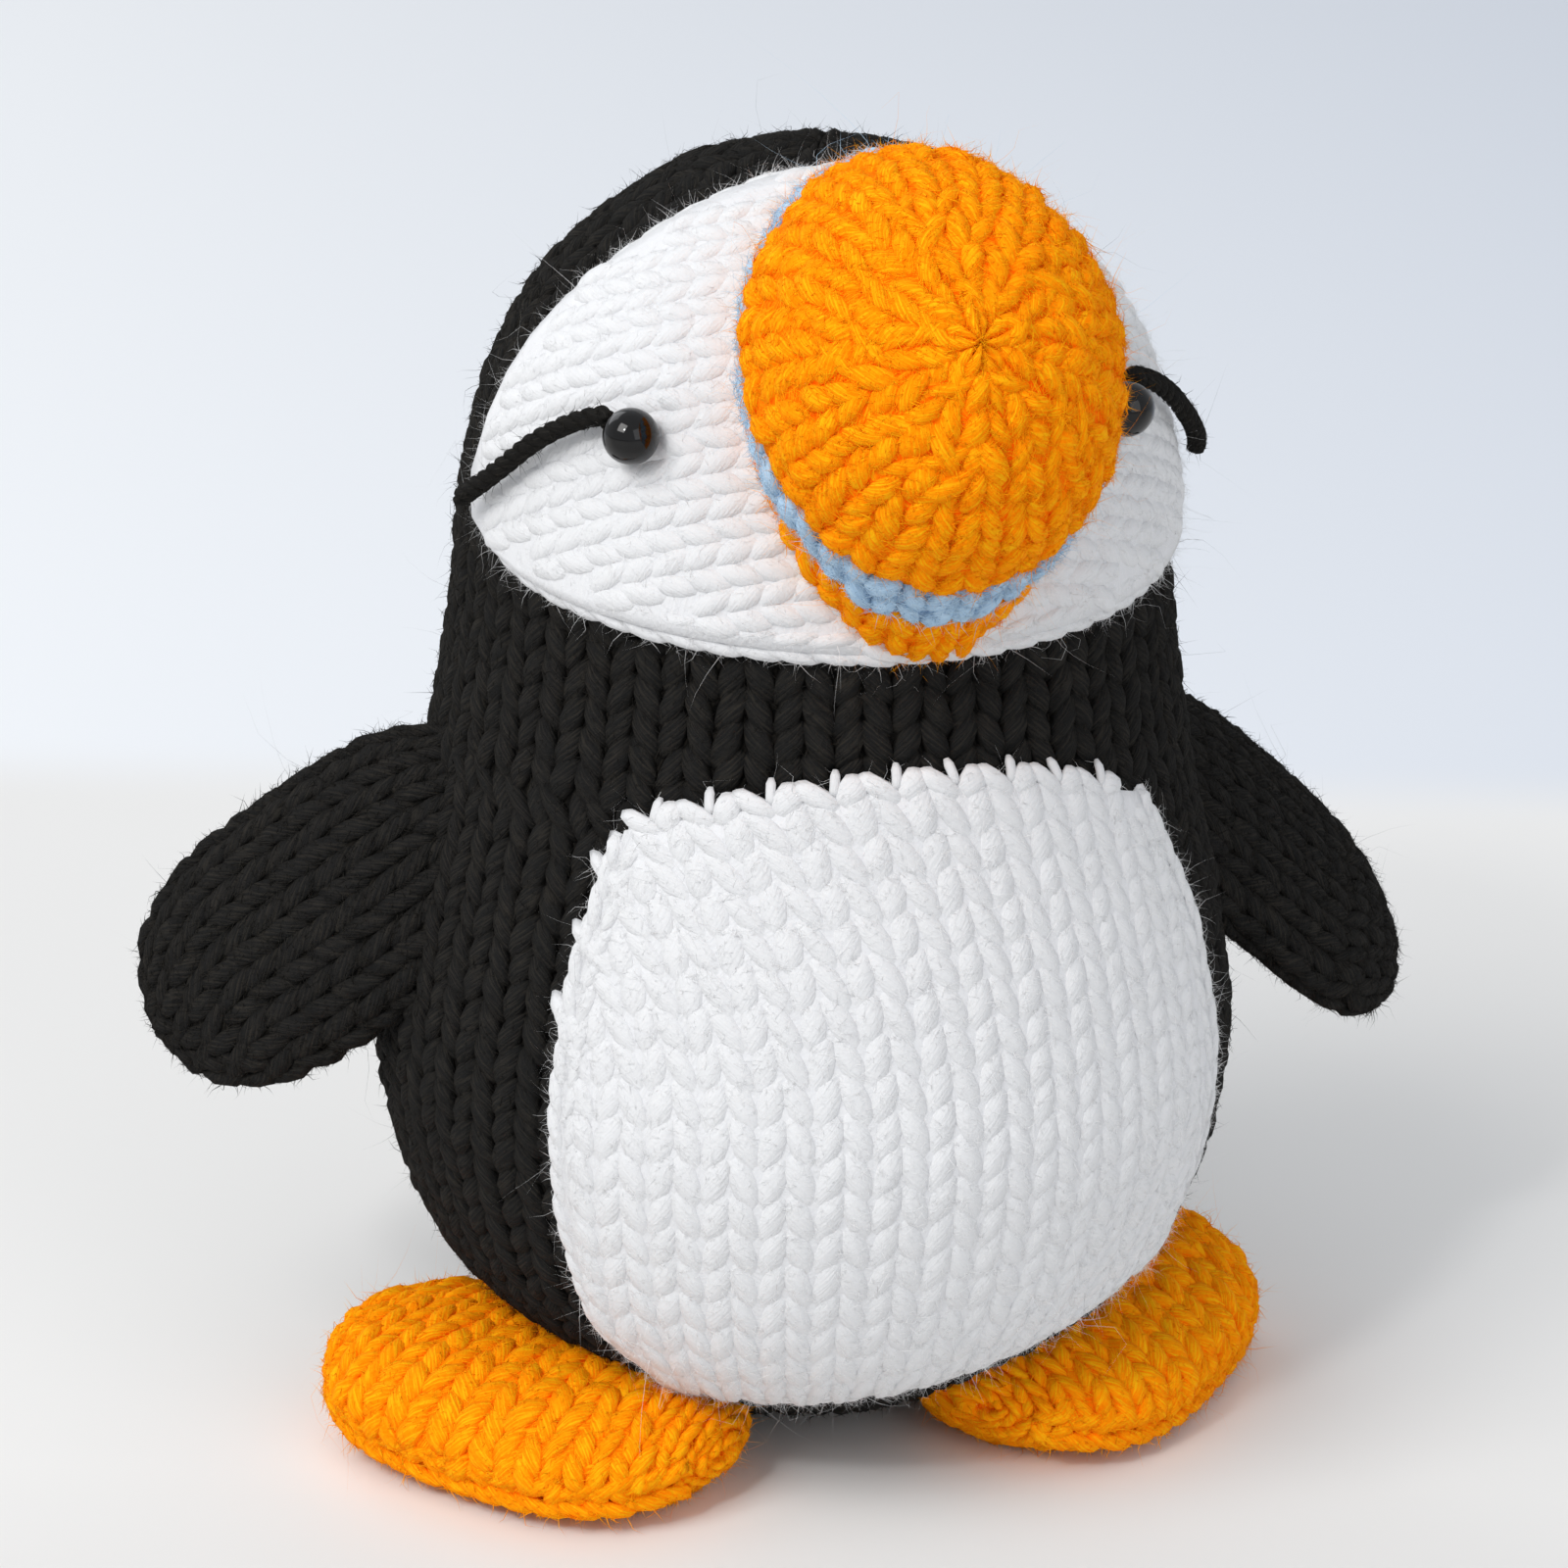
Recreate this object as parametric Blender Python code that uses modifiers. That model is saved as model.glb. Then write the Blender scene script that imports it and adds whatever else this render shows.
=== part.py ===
"""A knitted, stuffed toy puffin: a skittle-shaped body and head with a sewn face, beak, belly, wings, feet.

The toy faces -Y and stands on the floor at z = 0, with the origin under the middle of its flat underside.
Left and right are the toy's own, so its left wing is at +X.
"""

import math

import bmesh
import bpy
import numpy as np
from mathutils import Matrix, Vector

MM = 0.001
GAP = 0.3 * MM

# The body and head are one skittle, turned about Z: (radius, height) from the flat underside to the crown.
SKITTLE_OUTLINE = [
    (7.5, 0.0), (16.8, 4.2), (27.9, 14.0), (32.3, 27.5), (31.2, 40.0), (28.4, 53.0),
    (26.7, 64.0), (25.5, 75.0), (21.5, 85.9), (12.9, 94.1), (4.7, 97.3), (0.0, 97.7),
]
NECK_HEIGHT = 62.5 * MM
SKITTLE_SIDES = 36

# The face is laid out round a centre inside the head, on a line that tips up from the front.
HEAD_CENTRE = Vector((0.0, 0.0, 72.0 * MM))
FACE_TILT = math.radians(28.0)
FACE_HALF_SPAN = math.radians(84.0)
FACE_RISE = math.radians(48.0)
FACE_DROP = math.radians(38.5)
FACE_CORNER_SHARPNESS = 0.65
FABRIC = 1.5 * MM

EYE_RADIUS = 2.0 * MM
# The beads sit a little askew: degrees to the side and degrees up.
EYE_PLACES = {"left": (36.1, -1.1), "right": (42.2, 0.5)}
EYE_STAND = 1.1 * MM
EYE_LINE_RADIUS = 0.7 * MM
# Where the yarn of each eye line lies on the face, as degrees to the side and degrees up.
EYE_LINE_ROUTES = {
    "left": [(39.3, 4.1), (46.0, 3.9), (52.4, 2.8), (59.0, 1.2), (68.0, -0.2), (78.0, -1.0)],
    "right": [(46.8, 4.4), (52.4, 4.4), (59.3, 3.3), (66.2, 1.4), (72.1, 0.1), (79.0, -0.9)],
}

# The belly panel is sewn on a little askew: (height, degrees round to its right edge, and to its left).
PANEL_SIDES = [
    (11.0, 41.0, 36.0), (15.0, 47.5, 41.0), (24.0, 49.5, 48.5), (34.0, 50.5, 50.5),
    (43.0, 49.5, 48.5), (50.0, 46.5, 42.5), (56.0, 43.5, 36.5),
]
PANEL_TOP = 55.7 * MM
PANEL_TOP_ARCH = 4.2 * MM
PANEL_FOOT = 13.4 * MM
PANEL_FOOT_SLOPE = 4.0 * MM
PANEL_FOOT_SAG = -3.6 * MM

# The beak, along its own axis from the head's centre: (distance, half width, half height).
BEAK_TILT = math.radians(30.0)
BEAK_BASE_SHIFT = 0.4 * MM
BEAK_TIP_SHIFT = -1.4 * MM
BEAK_SECTIONS = [
    (16.0, 10.4, 18.2), (22.0, 11.0, 18.0), (27.0, 12.2, 17.2), (31.0, 13.3, 16.1), (34.5, 13.4, 15.4),
    (38.5, 12.1, 13.7), (42.0, 9.7, 10.7), (44.7, 6.3, 6.8), (46.2, 2.5, 2.7), (46.5, 0.0, 0.0),
]
BEAK_GATHER_DROP = 1.6 * MM
BEAK_BAND_START = 27.6 * MM
BEAK_TIP_START = 32.4 * MM
BEAK_SIDES = 24

WING_LENGTH = 35.5 * MM
WING_WIDTH = 19.5 * MM
WING_THICKNESS = 6.8 * MM
WING_ROOT_HEIGHT = 51.6 * MM
WING_ROOT_ANGLE = math.radians(82.0)
WING_SINK = 5.0 * MM
# How far each wing swings back, hangs down and rolls about its own length.
WING_POSES = {
    "right": (math.radians(27.0), math.radians(38.4), math.radians(-23.0)),
    "left": (math.radians(12.0), math.radians(41.8), math.radians(-49.0)),
}

FOOT_WIDTH = 24.0 * MM
FOOT_HEIGHT = 9.6 * MM
FOOT_SINK = 1.2 * MM
# Each foot's middle, the angle that it is turned out by, its length, how far its outer end
# lifts off the floor, and how much thicker it is along the body.
FOOT_SHAPES = {
    "right": (-23.2 * MM, -9.0 * MM, math.radians(50.0), 33.8 * MM, 1.5 * MM, 0.0),
    "left": (20.5 * MM, -8.0 * MM, math.radians(47.0), 35.0 * MM, 0.6 * MM, 0.4),
}

# 2 would make the stuffed paddles ellipses in plan; more makes their ends blunter.
PILLOW_SQUARENESS = 3.2

SIDES = {"left": 1.0, "right": -1.0}

COLOURS = {
    "black_yarn": ((0.012, 0.012, 0.013), 0.9),
    "white_yarn": ((0.87, 0.87, 0.88), 0.9),
    "orange_yarn": ((0.95, 0.32, 0.01), 0.9),
    "blue_yarn": ((0.32, 0.52, 0.78), 0.9),
    "black_bead": ((0.006, 0.006, 0.007), 0.12),
}


def clear_scene():
    for item in list(bpy.data.objects):
        bpy.data.objects.remove(item, do_unlink=True)


def make_collection(name):
    collection = bpy.data.collections.new(name)
    bpy.context.scene.collection.children.link(collection)
    return collection


def make_material(node, kind):
    colour, roughness = COLOURS[kind]
    material = bpy.data.materials.new(f"{node}_{kind}")
    material.use_nodes = True
    shader = material.node_tree.nodes["Principled BSDF"]
    shader.inputs["Base Color"].default_value = (*colour, 1.0)
    shader.inputs["Roughness"].default_value = roughness
    shader.inputs["Metallic"].default_value = 0.0
    return material


def add_object(name, mesh, kind):
    """Put a mesh in the toy's collection under its node's name, with a material of its own."""
    piece = bpy.data.objects.new(name, mesh)
    toy.objects.link(piece)
    mesh.materials.append(make_material(name, kind))
    return piece


def mesh_from(name, shape):
    """Turn a bmesh into a mesh with smooth faces that point outwards."""
    bmesh.ops.recalc_face_normals(shape, faces=shape.faces[:])
    for face in shape.faces:
        face.smooth = True
    mesh = bpy.data.meshes.new(name)
    shape.to_mesh(mesh)
    shape.free()
    return mesh


def smooth_curve(points, steps):
    """A smooth curve through the points, with the given number of steps between neighbours."""
    points = np.array(points, float)
    padded = np.vstack([2 * points[0] - points[1], points, 2 * points[-1] - points[-2]])
    curve = []
    for before, start, end, after in zip(padded, padded[1:], padded[2:], padded[3:]):
        for share in np.arange(steps) / steps:
            curve.append(
                0.5 * (2 * start + (end - before) * share
                       + (2 * before - 5 * start + 4 * end - after) * share ** 2
                       + (3 * start - before - 3 * end + after) * share ** 3))
    curve.append(points[-1])
    return np.array(curve)


def skittle_radius(height):
    """The skittle's radius at a height, both in metres."""
    return float(np.interp(height, fine_outline[:, 1], fine_outline[:, 0]))


def turned_solid(name, profile, kind):
    """A solid turned about Z from (radius, height) points that start and end on the axis."""
    mesh = bpy.data.meshes.new(name)
    points = [(radius, 0.0, height) for radius, height in profile]
    edges = [(index, index + 1) for index in range(len(points) - 1)]
    mesh.from_pydata(points[::-1], edges, [])
    piece = add_object(name, mesh, kind)
    screw = piece.modifiers.new("turn", "SCREW")
    screw.steps = SKITTLE_SIDES
    screw.render_steps = SKITTLE_SIDES
    screw.use_merge_vertices = True
    screw.merge_threshold = 0.00001
    screw.use_smooth_shade = True
    return piece


def skittle_profile(lowest, highest, steps):
    """The skittle's outline between two heights, closed to the axis at both ends."""
    curve = smooth_curve(SKITTLE_OUTLINE, steps) * MM
    inside = [tuple(point) for point in curve if lowest < point[1] < highest]
    start = [(0.0, lowest), (skittle_radius(lowest), lowest)]
    end = [(skittle_radius(highest), highest), (0.0, highest)]
    if highest > curve[-1][1]:
        end = [(0.0, curve[-1][1])]
    return start + inside + end


def make_body():
    return turned_solid("body", skittle_profile(0.0, NECK_HEIGHT - GAP / 2, 2), "black_yarn")


def make_head():
    return turned_solid("head", skittle_profile(NECK_HEIGHT + GAP / 2, 1.0, 3), "black_yarn")


def face_direction(side, rise, tilt=FACE_TILT):
    """A direction from the head's centre, by its angles to the side and up from the tilted face line."""
    forward = Vector((
        math.cos(rise) * math.sin(side),
        -math.cos(rise) * math.cos(side),
        math.sin(rise),
    ))
    return Matrix.Rotation(-tilt, 3, "X") @ forward


def on_head(side, rise, lift):
    """The point of the head's surface in a direction from its centre, lifted along that direction."""
    direction = face_direction(side, rise)
    near, far = 0.0, 60.0 * MM
    for _ in range(30):
        middle = (near + far) / 2
        point = HEAD_CENTRE + direction * middle
        if math.hypot(point.x, point.y) < skittle_radius(point.z):
            near = middle
        else:
            far = middle
    return HEAD_CENTRE + direction * (near + lift)


def on_body(angle, height, lift):
    """A point on the body at an angle round from the front and a height, lifted outwards."""
    radius = skittle_radius(height) + lift
    return Vector((radius * math.sin(angle), -radius * math.cos(angle), height))


def patch_of_fabric(name, place, columns, rows, kind):
    """A flat grid laid on the toy by place(u, v), with u and v from -1 to 1, given the fabric's depth."""
    shape = bmesh.new()
    bmesh.ops.create_grid(shape, x_segments=columns, y_segments=rows, size=1.0)
    for vertex in shape.verts:
        vertex.co = place(vertex.co.x, vertex.co.y)
    mesh = mesh_from(name, shape)
    if mesh.polygons[0].normal.dot(mesh.polygons[0].center - HEAD_CENTRE) < 0:
        mesh.flip_normals()
    piece = add_object(name, mesh, kind)
    depth = piece.modifiers.new("depth", "SOLIDIFY")
    depth.thickness = FABRIC
    depth.offset = 1.0
    depth.use_even_offset = True
    return piece


def face_place(across, up):
    side = across * FACE_HALF_SPAN
    fullness = max(math.cos(across * math.pi / 2), 0.02) ** FACE_CORNER_SHARPNESS
    rise = up * fullness * (FACE_RISE if up > 0 else FACE_DROP)
    return on_head(side, rise, GAP)


def make_face_patch():
    piece = patch_of_fabric("face_patch", face_place, 24, 12, "white_yarn")
    for side_name in SIDES:
        socket = bpy.data.meshes.new(f"eye_socket_{side_name}")
        shape = bmesh.new()
        bmesh.ops.create_uvsphere(shape, u_segments=16, v_segments=10, radius=EYE_RADIUS + GAP)
        bmesh.ops.translate(shape, verts=shape.verts[:], vec=eye_centre(side_name))
        shape.to_mesh(socket)
        shape.free()
        cut_with(piece, socket)
    return piece


def panel_place(across, up):
    """A point under the belly panel, from its right edge to its left and from its foot to its top."""
    foot = PANEL_FOOT + PANEL_FOOT_SLOPE * across + PANEL_FOOT_SAG * (1 - across * across)
    top = PANEL_TOP + PANEL_TOP_ARCH * (1 - across * across)
    height = foot + (top - foot) * (up + 1) / 2
    heights, right_angles, left_angles = np.array(PANEL_SIDES).T
    edge_angles = left_angles if across > 0 else right_angles
    edge_height = min(height, PANEL_TOP) / MM
    return on_body(across * math.radians(float(np.interp(edge_height, heights, edge_angles))), height, GAP)


def make_belly_panel():
    return patch_of_fabric("belly_panel", panel_place, 22, 14, "white_yarn")


def cut_with(piece, cutter_mesh):
    """Cut a piece with a mesh, by an exact Boolean."""
    cutter = bpy.data.objects.new(cutter_mesh.name, cutter_mesh)
    cutters.objects.link(cutter)
    cutter.hide_render = True
    cutter.display_type = "WIRE"
    cut = piece.modifiers.new(cutter_mesh.name, "BOOLEAN")
    cut.operation = "DIFFERENCE"
    cut.solver = "EXACT"
    cut.object = cutter


def skittle_clearance(name, lift):
    """The whole skittle, larger by a lift, as a mesh that cuts what is sewn onto it."""
    curve = smooth_curve(SKITTLE_OUTLINE, 3) * MM
    slope = np.gradient(curve, axis=0)
    outward = np.stack([slope[:, 1], -slope[:, 0]], axis=1)
    outward /= np.linalg.norm(outward, axis=1)[:, None]
    grown = curve + outward * lift
    points = [(0.0, -lift)] + [tuple(point) for point in grown[:-1]] + [(0.0, curve[-1][1] + lift)]
    shape = bmesh.new()
    line = [shape.verts.new((radius, 0.0, height)) for radius, height in points]
    edges = [shape.edges.new(pair) for pair in zip(line, line[1:])]
    bmesh.ops.spin(shape, geom=line + edges, axis=(0, 0, 1), cent=(0, 0, 0), steps=2 * SKITTLE_SIDES,
                   angle=math.tau)
    bmesh.ops.remove_doubles(shape, verts=shape.verts[:], dist=0.00001)
    return mesh_from(name, shape)


def eye_centre(side_name):
    to_side, up = EYE_PLACES[side_name]
    angle = SIDES[side_name] * math.radians(to_side)
    return on_head(angle, math.radians(up), GAP + FABRIC + EYE_STAND)


def make_eye(side_name):
    shape = bmesh.new()
    bmesh.ops.create_uvsphere(shape, u_segments=18, v_segments=12, radius=EYE_RADIUS)
    bmesh.ops.translate(shape, verts=shape.verts[:], vec=eye_centre(side_name))
    name = f"eye_{side_name}"
    return add_object(name, mesh_from(name, shape), "black_bead")


def make_eye_line(side_name, side):
    """A line of yarn stitched from the outer top of the eye to the corner of the face."""
    name = f"eye_line_{side_name}"
    route = smooth_curve(EYE_LINE_ROUTES[side_name], 4)
    curve = bpy.data.curves.new(name, "CURVE")
    curve.dimensions = "3D"
    curve.bevel_depth = EYE_LINE_RADIUS
    curve.bevel_resolution = 2
    curve.use_fill_caps = True
    spline = curve.splines.new("POLY")
    spline.points.add(len(route) - 1)
    for point, (to_side, up) in zip(spline.points, route):
        lift = 2 * GAP + FABRIC + EYE_LINE_RADIUS
        place = on_head(side * math.radians(to_side), math.radians(up), lift)
        point.co = (*place, 1.0)
    return add_object(name, curve, "black_yarn")


def beak_point(angle, distance):
    """A point of the beak's surface, by the angle round its axis and the distance along it, in metres."""
    half_width = float(np.interp(distance, fine_beak[:, 0], fine_beak[:, 1]))
    half_height = float(np.interp(distance, fine_beak[:, 0], fine_beak[:, 2]))
    share = max(0.0, (distance - BEAK_TIP_START) / (BEAK_SECTIONS[-1][0] * MM - BEAK_TIP_START))
    axis = face_direction(0.0, 0.0, BEAK_TILT)
    upward = face_direction(0.0, math.pi / 2, BEAK_TILT)
    outwards = (distance / MM - BEAK_SECTIONS[0][0]) / (BEAK_SECTIONS[-1][0] - BEAK_SECTIONS[0][0])
    shift = BEAK_BASE_SHIFT + (BEAK_TIP_SHIFT - BEAK_BASE_SHIFT) * outwards
    across = Vector((half_width * math.sin(angle) + shift, 0.0, 0.0))
    rise = half_height * math.cos(angle) - BEAK_GATHER_DROP * share ** 2
    return HEAD_CENTRE + axis * distance + upward * rise + across


def beak_length(name, start, end, rings, kind):
    """A length of the beak, lofted through its oval sections and closed at both ends."""
    shape = bmesh.new()
    loops = []
    for distance in np.linspace(start, end, rings):
        angles = np.arange(BEAK_SIDES) * math.tau / BEAK_SIDES
        loops.append([shape.verts.new(beak_point(angle, distance)) for angle in angles])
    for near, far in zip(loops, loops[1:]):
        for index in range(BEAK_SIDES):
            following = (index + 1) % BEAK_SIDES
            shape.faces.new((near[index], near[following], far[following], far[index]))
    shape.faces.new(loops[0])
    shape.faces.new(loops[-1][::-1])
    return add_object(name, mesh_from(name, shape), kind)


def make_beak():
    """The beak is knitted in one, with a blue band near its base, and is sewn to the face."""
    clearance = skittle_clearance("face_clearance", 2 * GAP + FABRIC)
    tip_end = (BEAK_SECTIONS[-1][0] - 0.1) * MM
    base = beak_length("beak_base", BEAK_SECTIONS[0][0] * MM, BEAK_BAND_START - GAP / 2, 5, "orange_yarn")
    band = beak_length("beak_band", BEAK_BAND_START + GAP / 2, BEAK_TIP_START - GAP / 2, 3, "blue_yarn")
    beak_length("beak_tip", BEAK_TIP_START + GAP / 2, tip_end, 11, "orange_yarn")
    cut_with(base, clearance)
    cut_with(band, clearance.copy())


def pillow(name, half_length, half_width, half_depth, kind):
    """A stuffed paddle along X: an oval in plan, fuller at its edges than an ellipsoid."""
    shape = bmesh.new()
    bmesh.ops.create_uvsphere(shape, u_segments=20, v_segments=14, radius=1.0)
    along_x = Matrix.Rotation(math.pi / 2, 3, "Y")
    bmesh.ops.rotate(shape, verts=shape.verts[:], cent=(0, 0, 0), matrix=along_x)
    for vertex in shape.verts:
        along, across, depth = vertex.co
        ellipse = max(math.sqrt(max(1 - along * along, 0.0)), 0.0001)
        fullness = min(math.sqrt(max(1 - abs(along) ** PILLOW_SQUARENESS, 0.0)) / ellipse, 1.6)
        vertex.co = (half_length * along, half_width * across * fullness, half_depth * depth * fullness)
    return add_object(name, mesh_from(name, shape), kind)


def make_wing(side_name, side):
    """A flat stuffed paddle, sewn by one end to the shoulder."""
    back, down, roll = WING_POSES[side_name]
    wing = pillow(f"wing_{side_name}", WING_LENGTH / 2, WING_WIDTH / 2, WING_THICKNESS / 2, "black_yarn")
    root = on_body(side * WING_ROOT_ANGLE, WING_ROOT_HEIGHT, -WING_SINK)
    level_reach = math.cos(down)
    heading = Vector((side * math.cos(back) * level_reach, math.sin(back) * level_reach, -math.sin(down)))
    level = heading.cross(Vector((0, 0, 1))).normalized()
    level = Matrix.Rotation(side * roll, 3, heading) @ level
    upward = level.cross(heading).normalized()
    axes = Matrix((heading, upward, heading.cross(upward))).transposed()
    place = Matrix.Translation(root + heading * WING_LENGTH / 2) @ axes.to_4x4()
    wing.data.transform(place)
    return wing


def make_foot(side_name, side):
    """A stuffed oval pad, sewn under the side of the body, with its long edge turned out and forward."""
    x, y, angle, length, lift, thickening = FOOT_SHAPES[side_name]
    half_height = (FOOT_HEIGHT + FOOT_SINK) / 2
    foot = pillow(f"foot_{side_name}", length / 2, FOOT_WIDTH / 2, half_height, "orange_yarn")
    for vertex in foot.data.vertices:
        outer_share = max(side * vertex.co.x / (length / 2), 0.0)
        body_share = (1 + vertex.co.y / (FOOT_WIDTH / 2)) / 2
        height = vertex.co.z + (FOOT_HEIGHT - FOOT_SINK) / 2
        vertex.co.z = max(height * (1 + thickening * body_share) + lift * outer_share ** 2, 0.0)
    turn = Matrix.Rotation(side * angle, 4, "Z")
    foot.data.transform(Matrix.Translation((x, y, 0.0)) @ turn)
    return foot


def make_limbs():
    clearance = skittle_clearance("body_clearance", GAP)
    for side_name, side in SIDES.items():
        for limb in (make_wing(side_name, side), make_foot(side_name, side)):
            cut_with(limb, clearance.copy())


clear_scene()
fine_outline = smooth_curve(SKITTLE_OUTLINE, 12) * MM
fine_beak = smooth_curve(BEAK_SECTIONS, 8) * MM
toy = make_collection("knitted_puffin")
cutters = make_collection("cutters")
make_body()
make_head()
make_face_patch()
make_belly_panel()
make_beak()
for eye_side_name, eye_side in SIDES.items():
    make_eye(eye_side_name)
    make_eye_line(eye_side_name, eye_side)
make_limbs()
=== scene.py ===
# A hand-knitted, stuffed toy puffin that stands on two orange feet. It is made of
# separately knitted pieces sewn together: a black body and head, a white face, a white
# front panel, an orange and blue beak, two black wings and two orange feet.

from math import atan, cos, pi, radians, sin, tau

import bmesh
import bpy
import numpy as np
from mathutils import Matrix, Vector


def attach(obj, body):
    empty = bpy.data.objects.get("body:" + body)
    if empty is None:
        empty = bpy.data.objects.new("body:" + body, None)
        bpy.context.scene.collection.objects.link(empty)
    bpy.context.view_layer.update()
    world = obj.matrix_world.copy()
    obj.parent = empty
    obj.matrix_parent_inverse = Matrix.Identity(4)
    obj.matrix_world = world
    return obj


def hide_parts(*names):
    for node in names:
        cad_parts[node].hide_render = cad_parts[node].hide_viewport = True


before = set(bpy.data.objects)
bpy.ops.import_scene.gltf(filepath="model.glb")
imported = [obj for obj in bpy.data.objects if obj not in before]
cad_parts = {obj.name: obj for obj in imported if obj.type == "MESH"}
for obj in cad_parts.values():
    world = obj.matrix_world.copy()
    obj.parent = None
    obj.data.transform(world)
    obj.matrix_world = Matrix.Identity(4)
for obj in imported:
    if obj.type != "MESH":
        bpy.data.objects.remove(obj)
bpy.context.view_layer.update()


# ---------------------------------------------------------------------------------
# The table, the camera and the soft daylight. The table top is warm white and turns to
# a cooler white behind the toy, and a large window stands to the upper left. Painted
# light and shade change its colours from side to side, and painted shade darkens it
# towards the camera.

MM = 0.001
CAMERA_SIDE = radians(-17)
CAMERA_RISE = radians(20)
CAMERA_ROLL = radians(1.07)
CAMERA_DISTANCE = 0.420
CAMERA_TARGET = Vector((-1.84, 0, 48.4)) * MM
VIEW_HALF_WIDTH = 0.05896


def add_object(name, data):
    made = bpy.data.objects.new(name, data)
    bpy.context.scene.collection.objects.link(made)
    return made


def new_paint(name):
    """A new material, with its node tree and its shader."""
    material = bpy.data.materials.new(name)
    material.use_nodes = True
    return material, material.node_tree, material.node_tree.nodes["Principled BSDF"]


def set_inputs(tree, node, inputs):
    """Each named input gets its value, or a wire where the value is a socket."""
    for name, value in inputs.items():
        if isinstance(value, bpy.types.NodeSocket):
            tree.links.new(value, node.inputs[name])
        else:
            node.inputs[name].default_value = value


def add_node(tree, kind, inputs=(), **settings):
    node = tree.nodes.new("ShaderNode" + kind)
    for name, value in settings.items():
        setattr(node, name, value)
    set_inputs(tree, node, dict(inputs))
    return node


def everywhere(tree):
    """Places on the piece itself, for a pattern that has no direction."""
    return add_node(tree, "TexCoord").outputs["Object"]


def noise(tree, vector, scale, detail=2.0):
    inputs = {"Vector": vector, "Scale": scale, "Detail": detail}
    return add_node(tree, "TexNoise", inputs).outputs["Fac"]


def between(tree, value, low, high, least=0.0, **settings):
    """How far a value lies from low to high, as a share from least to 1."""
    inputs = {"Value": value, "From Min": low, "From Max": high, "To Min": least}
    return add_node(tree, "MapRange", inputs, **settings).outputs["Result"]


def mixed(tree, share, first, second):
    """A colour between two others."""
    inputs = {"Factor": share, "A": first, "B": second}
    return add_node(tree, "Mix", inputs, data_type="RGBA").outputs["Result"]


towards_camera = Vector(
    (
        sin(CAMERA_SIDE) * cos(CAMERA_RISE),
        -cos(CAMERA_SIDE) * cos(CAMERA_RISE),
        sin(CAMERA_RISE),
    )
)
level_right = Vector((cos(CAMERA_SIDE), sin(CAMERA_SIDE), 0))
level_up = towards_camera.cross(level_right)
camera_right = level_right * cos(CAMERA_ROLL) + level_up * sin(CAMERA_ROLL)
camera_up = level_up * cos(CAMERA_ROLL) - level_right * sin(CAMERA_ROLL)
camera_data = bpy.data.cameras.new("camera")
camera_data.angle = 2 * atan(VIEW_HALF_WIDTH / CAMERA_DISTANCE)
camera_data.clip_start = 0.01
camera = add_object("camera", camera_data)
camera_axes = Matrix((camera_right, camera_up, towards_camera)).transposed()
camera.matrix_world = Matrix.Translation(
    CAMERA_TARGET + towards_camera * CAMERA_DISTANCE
) @ camera_axes.to_4x4()
bpy.context.scene.camera = camera
bpy.context.scene.view_settings.view_transform = "Standard"


def soft_light(name, place, size, power, tint):
    """A square lamp that looks at the middle of the toy."""
    lamp_data = bpy.data.lights.new(name, "AREA")
    lamp_data.size = size
    lamp_data.energy = power
    lamp_data.color = tint
    lamp = add_object(name, lamp_data)
    lamp.location = place
    lamp.rotation_mode = "QUATERNION"
    lamp.rotation_quaternion = (Vector(place) - CAMERA_TARGET).to_track_quat("Z", "Y")


soft_light("window", (-0.60, -0.30, 0.70), 0.50, 4.4, (1.0, 0.99, 0.97))
soft_light("window pane", (-0.50, -0.45, 0.62), 0.08, 1.1, (1.0, 1.0, 1.0))
soft_light("room", (0.30, -0.85, 0.45), 0.7, 1.6, (0.97, 0.98, 1.0))
soft_light("behind", (-0.35, 0.75, 0.60), 0.6, 1.8, (0.95, 0.97, 1.0))

world = bpy.data.worlds.new("room")
bpy.context.scene.world = world
world.use_nodes = True
daylight = {"Color": (0.93, 0.96, 1, 1), "Strength": 0.58}
set_inputs(world.node_tree, world.node_tree.nodes["Background"], daylight)

TABLE_HALF = 3.0
TABLE_TURNS_COOL = 0.133  # how far behind the toy the warm white ends
TABLE_BLUR = 0.012
TABLE_SWEEP = 0.12  # how far to each side its colours, with their painted light and shade, still change
TABLE_PAINTED_SHADE_START = 0.02  # how far before the toy the painted shade starts to darken the table
TABLE_PAINTED_SHADE_END = 0.10
TABLE_PAINTED_SHADE = 0.70
# on the left and on the right: the warm white before the toy, the cool one behind it.
# They differ from side to side as painted light and shade, lighter behind the toy on the left.
TABLE_COLOURS = (
    ((0.80, 0.79, 0.775), (0.89, 0.905, 0.925)),
    ((0.90, 0.89, 0.875), (0.75, 0.79, 0.86)),
)

bm = bmesh.new()
bmesh.ops.create_grid(bm, x_segments=8, y_segments=8, size=TABLE_HALF)
table_mesh = bpy.data.meshes.new("table")
bm.to_mesh(table_mesh)
bm.free()
table = add_object("table", table_mesh)

table_paint, tree, table_shader = new_paint("table top")
on_table = everywhere(tree)
along_view, across_view = (
    add_node(tree, "VectorMath", {0: on_table, 1: way}, operation="DOT_PRODUCT").outputs["Value"]
    for way in ((-sin(CAMERA_SIDE), cos(CAMERA_SIDE), 0), (cos(CAMERA_SIDE), sin(CAMERA_SIDE), 0))
)
blur = (TABLE_TURNS_COOL - TABLE_BLUR, TABLE_TURNS_COOL + TABLE_BLUR)
turn = between(tree, along_view, *blur, interpolation_type="SMOOTHERSTEP")
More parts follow.
